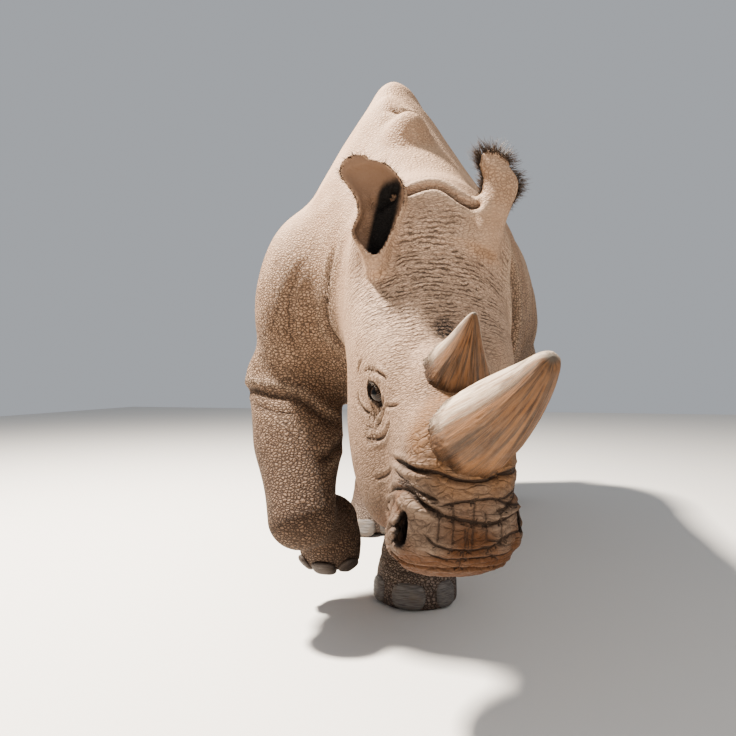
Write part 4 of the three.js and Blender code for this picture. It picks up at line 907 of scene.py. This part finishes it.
def horn(name, rows, columns=192, loops=150):
    """Ovals (back, height, half side, half along the skull, tilt) drawn as one curve; fibres run up the sides
    as ridges of random height that fade towards the tip, and the base ring swells a little."""
    table = fair([(i / (len(rows) - 1), *row) for i, row in enumerate(rows)], loops)
    t, (back, height, side, along, tilt) = table[:, :1], table[:, 1:].T[:, :, None]
    a = np.linspace(0, 2 * np.pi, columns, endpoint=False)[None]
    base = 1 - rise(t, 0.02, 0.30)
    circle = np.stack([np.cos(a) * 3 + 0 * t, np.sin(a) * 3 + 0 * t, 1.2 * t + 0 * a], -1).reshape(-1, 3)
    fibre = ripple(circle * (1, 1, 2.2), 0.34, 21).reshape(loops, columns)
    fibre += 0.5 * ripple(circle * (1, 1, 4.0), 0.17, 22).reshape(loops, columns)
    lump = ripple(circle * (1, 1, 3), 1.6, 23).reshape(loops, columns)
    grow = 1 + (0.005 + 0.018 * base) * fibre + 0.028 * lump + 0.05 * (1 - rise(t, 0.0, 0.10)) * (1 - t)
    s, c = np.sin(a) * along * grow, np.cos(a) * side * grow
    tilt = np.radians(tilt)
    points = np.stack([c, back + s * np.cos(tilt), height + s * np.sin(tilt)], -1)
    keep = on_head(points.reshape(-1, 3))
    thing = add_mesh(name, keep, tube_faces(loops, columns))
    mark(thing, "rise", (t + 0 * a).ravel())
    mark(thing, "round", np.stack([np.cos(a) + 0 * t, np.sin(a) + 0 * t, t * 6 + 0 * a], -1).reshape(-1, 3))
    return thing


finish, tree, shader, node, noise, sum_of, blend, between = surface_finish("keratin")
place = node("TexCoord")["Object"]
up = held("rise")
ring = held("round", "Vector")
ring_parts = node("SeparateXYZ", Vector=ring)
stretch = node("Mapping", Vector=ring, Scale=(9.0, 9.0, 0.7))[0]
fibre = noise(stretch, 2.2, 6.0, 0.7)
thread = noise(stretch, 11.0, 3.0, 0.7)
streak = noise(stretch, 0.75, 6.0, 0.72)
cloud = noise(place, 14.0, 6.0, 0.65)
# The side turned to the ground is painted dark brown, partly stain and partly painted shade; the top is left
# pale.
low_side = sum_of("MULTIPLY_ADD", ring_parts[1], -0.85, of(ring_parts[0], -0.12))
stained_shaded_side = between(sum_of("MULTIPLY_ADD", sum_of("SUBTRACT", streak, 0.5), 1.0, low_side), -0.36, 0.26)
patch = noise(node("Mapping", Vector=ring, Scale=(2.2, 2.2, 0.9))[0], 1.3, 6.0)
colour = blend(between(fibre, 0.3, 0.7), (0.50, 0.375, 0.265, 1), (0.80, 0.68, 0.55, 1))
brown = blend(between(streak, 0.38, 0.60), (0.034, 0.012, 0.004, 1), (0.200, 0.086, 0.030, 1))
colour = blend(of(stained_shaded_side, 0.90), colour, brown)
colour = blend(between(patch, 0.50, 0.68, 0.0, 0.60), colour, brown)
low = between(sum_of("MULTIPLY_ADD", cloud, 0.34, up), 0.26, 0.44)
colour = blend(of(less(low), between(thread, 0.36, 0.58)), colour, (0.055, 0.028, 0.014, 1))
colour = blend(between(up, 0.86, 0.97, 0.0, 0.85), colour, (0.17, 0.15, 0.125, 1))
shader.inputs["Specular IOR Level"].default_value = 0.22
height = sum_of("MULTIPLY_ADD", thread, 0.0012, of(fibre, 0.0026))
height = sum_of("MULTIPLY_ADD", of(less(low), thread), 0.007, height)
dress(colour, between(cloud, 0.3, 0.7, 0.45, 0.70), height)
for name, rows in (("front", FRONT_HORN), ("rear", REAR_HORN)):
    thing = horn("keratin_horn_" + name, rows)
    thing.data.materials.append(finish)
    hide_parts("horn_" + name)
    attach(thing, "root")

# ----------------------------------------------------------------------------------------------------
# Toenails: three to a foot, the middle one widest; each is a thick curved plate let into the foot, with rings
# of growth across it, and scuffed paler in patches.
finish, tree, shader, node, noise, sum_of, blend, between = surface_finish("toenail")
place = node("TexCoord")["Object"]
plate = held("plate", "Vector")
smear = noise(place, 26.0, 6.0, 0.7)
ringed = noise(node("Mapping", Vector=plate, Scale=(0.5, 0.5, 9.0))[0], 2.2, 4.0)
colour = blend(between(ringed, 0.35, 0.65), (0.080, 0.070, 0.064, 1), (0.190, 0.170, 0.155, 1))
colour = blend(between(smear, 0.45, 0.75, 0.0, 0.5), colour, (0.20, 0.145, 0.100, 1))
# The lifted fore foot's nails are painted dark: painted shade.
colour = blend(held("muddy"), colour, (0.042, 0.026, 0.018, 1))
dress(colour, between(smear, 0.3, 0.7, 0.45, 0.75), sum_of("MULTIPLY_ADD", ringed, 0.003, of(smear, 0.001)))
# Each foot: its middle, the turn in degrees from nail to nail, the nails' reach to the side and to the front,
# the way up along them, the half widths of the middle nail and of the others, half height, half thickness.
FEET = {
    "fore_left": ((0.10, -0.02, 0.045), 56, (0.13, 0.14), (0, 0, 1), (0.052, 0.038), 0.040, 0.018),
    "hind_left": ((0.24, 1.66, 0.045), 56, (0.13, 0.14), (0, 0, 1), (0.052, 0.038), 0.040, 0.018),
    "hind_right": ((-0.262, 0.80, 0.045), -56, (0.13, 0.14), (0, 0, 1), (0.052, 0.038), 0.040, 0.018),
    "fore_right": ((TOE[0], TOE[1] - 0.03, TOE[2] - 0.03), -66, (0.09, 0.05), (0, -1, 0), (0.038, 0.030),
                   0.034, 0.012)}
NAIL_ROWS, SQUARENESS = 33, 0.72
toes = []
for foot, ((x, y, z), spread, (aside, ahead), up, widths, tall, thick) in FEET.items():
    for word, turn in (("inner", -1), ("middle", 0), ("outer", 1)):
        a = np.radians(spread * turn)
        toes.append((foot + "_" + word, (x + np.sin(a) * aside, y - np.cos(a) * ahead, z), up,
                     widths[abs(turn)], tall, thick))
for name, guess, up, width, tall, thick in toes:
    at = np.array([guess], float)
    for _ in range(8):
        g = slope_of(hide, at)
        at -= hide(at)[:, None] * g / (g * g).sum(1, keepdims=True)
    facing = unit(slope_of(hide, at)[0])
    across = unit(np.cross(facing, up))
    top = np.cross(across, facing)
    theta, phi = globe_grid(NAIL_ROWS)
    x, z = np.cos(phi) * np.sin(theta), np.sin(phi) * np.sin(theta)
    x, z = (np.sign(c) * np.abs(c) ** SQUARENESS for c in (x, z))
    rings = 0.035 * np.sin(z * 19 + 1.5 * x) * rise(np.cos(theta), 0, 0.5)
    y = np.cos(theta) * (1 + rings) + 0.18 * rise(-z, 0.1, 0.9) * (np.cos(theta) > 0)
    local = np.stack([x * width, z * tall, y * thick], -1).reshape(-1, 3)
    points = at - 0.45 * thick * facing + local @ np.array([across, top, facing])
    points[:, 2] = np.maximum(points[:, 2], 0.001)
    nail = add_mesh("plate_" + name, points, tube_faces(NAIL_ROWS, GLOBE_COLUMNS)[:, ::-1])
    mark(nail, "plate", np.stack([x, y, z], -1).reshape(-1, 3))
    # Only the lifted fore foot's nails get the painted shade.
    mark(nail, "muddy", np.full(len(points), 0.85 * name.startswith("fore_right")))
    nail.data.materials.append(finish)
    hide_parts("nail_" + name)
    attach(nail, "root")

# ----------------------------------------------------------------------------------------------------
# Hair: the hide is bare but for a dark fringe on the ears' rims, lashes on the upper lids and coarse bristles
# on two sides of the tail's end. Each hair is a solid three-sided taper that bends as it leaves the skin.

chance = np.random.default_rng(7)
PATCH = 0.003


def hairs(name, roots, ways, lengths, thickness, droop, segments=4):
    """Tapers with three sides: centre line root + way length t + droop t^2, radius thickness (1 - t^1.5).
    Each has a patch PATCH across in OFBake, at its root's angle round the trunk and its place along it."""
    n = len(roots)
    t = np.linspace(0, 1, segments + 1)[None, :, None]
    line = roots[:, None] + ways[:, None] * lengths[:, None, None] * t + droop[:, None] * t**2
    ahead = np.gradient(line, axis=1)
    ahead /= np.linalg.norm(ahead, axis=2, keepdims=True)
    side = np.cross(ahead, (0.31, 0.52, 0.79))
    side /= np.linalg.norm(side, axis=2, keepdims=True)
    other = np.cross(ahead, side)
    radius = thickness * (1 - t**1.5) + 0.00012
    a = np.radians((0, 120, 240))
    loop = line[:, :, None] + radius[..., None] * (np.cos(a)[None, None, :, None] * side[:, :, None]
                                                   + np.sin(a)[None, None, :, None] * other[:, :, None])
    points = loop.reshape(-1, 3)
    each = 3 * (segments + 1)
    wall = tube_faces(segments + 1, 3)
    faces = (wall[None] + each * np.arange(n)[:, None, None]).reshape(-1, 4)
    ends = np.concatenate([[(2, 1, 0)], [(each - 3, each - 2, each - 1)]])
    ends = (ends[None] + each * np.arange(n)[:, None, None]).reshape(-1, 3)
    thing = add_mesh(name, points, np.array(faces.tolist() + ends.tolist(), object))
    angle = np.arctan2(roots[:, 0], roots[:, 2] - 1.0) / (2 * np.pi) + 0.5
    along = (roots[:, 1] + 1.2) / 3.6
    patch = np.stack([angle, along], 1)[:, None] + PATCH * np.stack([np.tile((0, 0.5, 1), segments + 1),
                                                                    np.repeat(t.ravel(), 3)], 1)[None]
    corner = np.empty(len(thing.data.loops), np.int64)
    thing.data.loops.foreach_get("vertex_index", corner)
    layer = thing.data.uv_layers.new(name="OFBake")
    layer.data.foreach_set("uv", patch.reshape(-1, 2)[corner].ravel().astype(np.float32))
    mark(thing, "tip", np.tile(np.repeat(t.ravel(), 3), n))
    return thing


finish, tree, shader, node, noise, sum_of, blend, between = surface_finish("bristle")
tip = held("tip")
shade = noise(node("TexCoord")["Object"], 60.0, 2.0)
dark = blend(between(shade, 0.35, 0.65), (0.018, 0.012, 0.009, 1), (0.060, 0.036, 0.022, 1))
tree.links.new(blend(of(tip, 0.45), dark, (0.17, 0.10, 0.055, 1)), shader.inputs["Base Color"])
shader.inputs["Roughness"].default_value = 0.5
for word, ear, count, short, long in (("left", ear_left, 1500, 0.012, 0.022),
                                      ("right", ear_right, 300, 0.005, 0.010)):
    s = ear.s
    top = s.t[-1, 0]
    t = top + 0.02 - (top - 0.03) * chance.random(count) ** 1.3
    side = np.where(chance.random(count) < 0.5, -1, 1)
    at = np.clip(t, s.t[0, 0], top)
    off_u, off_v, a, b = s.section(at)
    close = np.sqrt(np.clip(1 - ((t - at) / 0.025) ** 2, 0.0004, 1))
    turn = np.arccos(np.clip(-np.interp(t, *ear.opening) / (b * close), -1, 1))
    turn = np.where(t > top, turn * chance.random(count), turn) * side
    roots = (s.o + t[:, None] * s.e + (off_u + np.sin(turn) * a * close)[:, None] * s.u
             + (off_v - np.cos(turn) * b * close)[:, None] * s.v)
    away = (np.sin(turn)[:, None] * s.u - 0.3 * np.cos(turn)[:, None] * s.v + 0.55 * s.e
            + chance.normal(0, 0.25, (count, 3)))
    away /= np.linalg.norm(away, axis=1, keepdims=True)
    lengths = (short + long * rise(t, 0.4 * top, top)) * chance.uniform(0.4, 1.25, count)
    fringe = hairs("fringe_" + word, roots, away, lengths, 0.00045, chance.normal(0, 0.004, (count, 3)))
    fringe.data.materials.append(finish)
    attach(fringe, "root")
for word, s in (("left", LEFT), ("right", RIGHT)):
    count = 90
    along_axis, up_axis, out_axis = eye_axes(s)
    a = chance.uniform(-0.85, 0.85, count)
    rim_height = 0.019 * np.sqrt(1 - a**2)
    ball = EYE_RADIUS + 0.004
    root = (a[:, None] * 0.031 * along_axis + rim_height[:, None] * up_axis
            + np.sqrt(np.maximum(ball**2 - (a * 0.031) ** 2 - rim_height**2, 0.0002))[:, None] * out_axis)
    way = 0.85 * out_axis + 0.10 * up_axis + 0.45 * a[:, None] * along_axis
    way = way + chance.normal(0, 0.10, (count, 3))
    roots = on_head((s * EYE_OUT, EYE_BACK, EYE_HEIGHT) + root)
    lash = hairs("lashes_" + word, roots, way @ HEAD, chance.uniform(0.012, 0.02, count), 0.0006,
                 np.tile(-0.006 * up_axis @ HEAD, (count, 1)))
    lash.data.materials.append(finish)
    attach(lash, "root")
count = 900
t = chance.uniform(0.36, 0.62, count)
off_u, off_v, a, b = tail.section(t)
turn = chance.normal(0, 0.5, count) + np.where(chance.random(count) < 0.5, 0, np.pi)
roots = (tail.o + t[:, None] * tail.e + (off_u + np.cos(turn) * a * 0.9)[:, None] * tail.u
         + (off_v + np.sin(turn) * b * 0.9)[:, None] * tail.v)
away = 0.55 * np.cos(turn)[:, None] * tail.u + 0.9 * tail.e + chance.normal(0, 0.12, (count, 3))
away /= np.linalg.norm(away, axis=1, keepdims=True)
drop = np.stack([np.zeros(count), np.zeros(count), -chance.uniform(0.01, 0.03, count)], 1)
tuft = hairs("tail_tuft", roots, away, chance.uniform(0.05, 0.10, count), 0.0009, drop)
tuft.data.materials.append(finish)
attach(tuft, "root")

# ----------------------------------------------------------------------------------------------------
# The studio: a plain pale floor, soft light from high on the animal's right and from the front, and the
# camera at the height of a crouching person in front of its left forefoot.
floor = add_mesh("floor", np.array([(-9, -7, 0), (9, -7, 0), (9, 11, 0), (-9, 11, 0)], float) - MIDDLE,
                 np.array([(0, 1, 2, 3)]))
finish, tree, shader, node, noise, sum_of, blend, between = surface_finish("floor")
shader.inputs["Base Color"].default_value = (0.70, 0.68, 0.65, 1)
shader.inputs["Roughness"].default_value = 0.85
floor.data.materials.append(finish)
bpy.context.scene.view_settings.look = "AgX - Medium High Contrast"
world = bpy.data.worlds.new("studio")
world.use_nodes = True
sky = world.node_tree.nodes["Background"].inputs
sky["Color"].default_value, sky["Strength"].default_value = (0.90, 0.94, 1.0, 1), 0.40
bpy.context.scene.world = world
EYE_LEVEL = np.array([0.4555, -2.02, 0.71])
VIEW_LEFT, VIEW_UP, LENS = np.radians(14.5), np.radians(0.92), 30.326087
ahead = np.array([-np.sin(VIEW_LEFT), np.cos(VIEW_LEFT), 0])
sideways = np.array([np.cos(VIEW_LEFT), np.sin(VIEW_LEFT), 0])


def lamp(name, place, target, size, power, colour):
    """A square soft light at a place, turned to a target."""
    light = bpy.data.lights.new(name, "AREA")
    light.size, light.energy, light.color = size, power, colour
    thing = bpy.data.objects.new(name, light)
    bpy.context.scene.collection.objects.link(thing)
    z = unit(np.asarray(place) - target)
    x = unit(np.cross((0, 0, 1), z))
    m = np.eye(4)
    m[:3, 0], m[:3, 1], m[:3, 2], m[:3, 3] = x, np.cross(z, x), z, place
    thing.matrix_world = m.T.tolist()
    return thing


chest = np.array([0.05, 0.0, 0.85]) + MIDDLE
lamp("sun_side", chest - 2.3 * sideways + 0.8 * ahead + (0, 0, 4.4), chest, 0.5, 1350, (1.0, 0.92, 0.82))
lamp("front", chest - 3.4 * ahead + 0.8 * sideways + (0, 0, 1.6), chest, 3.0, 60, (1.0, 0.96, 0.91))
camera = bpy.data.objects.new("camera", bpy.data.cameras.new("camera"))
camera.data.sensor_width, camera.data.lens, camera.data.clip_start = 36.0, LENS, 0.05
bpy.context.scene.collection.objects.link(camera)
z = -(ahead * np.cos(VIEW_UP) + np.array([0, 0, np.sin(VIEW_UP)]))
m = np.eye(4)
m[:3, 0], m[:3, 1], m[:3, 2], m[:3, 3] = sideways, np.cross(z, sideways), z, EYE_LEVEL + MIDDLE
camera.matrix_world = m.T.tolist()
bpy.context.scene.camera = camera
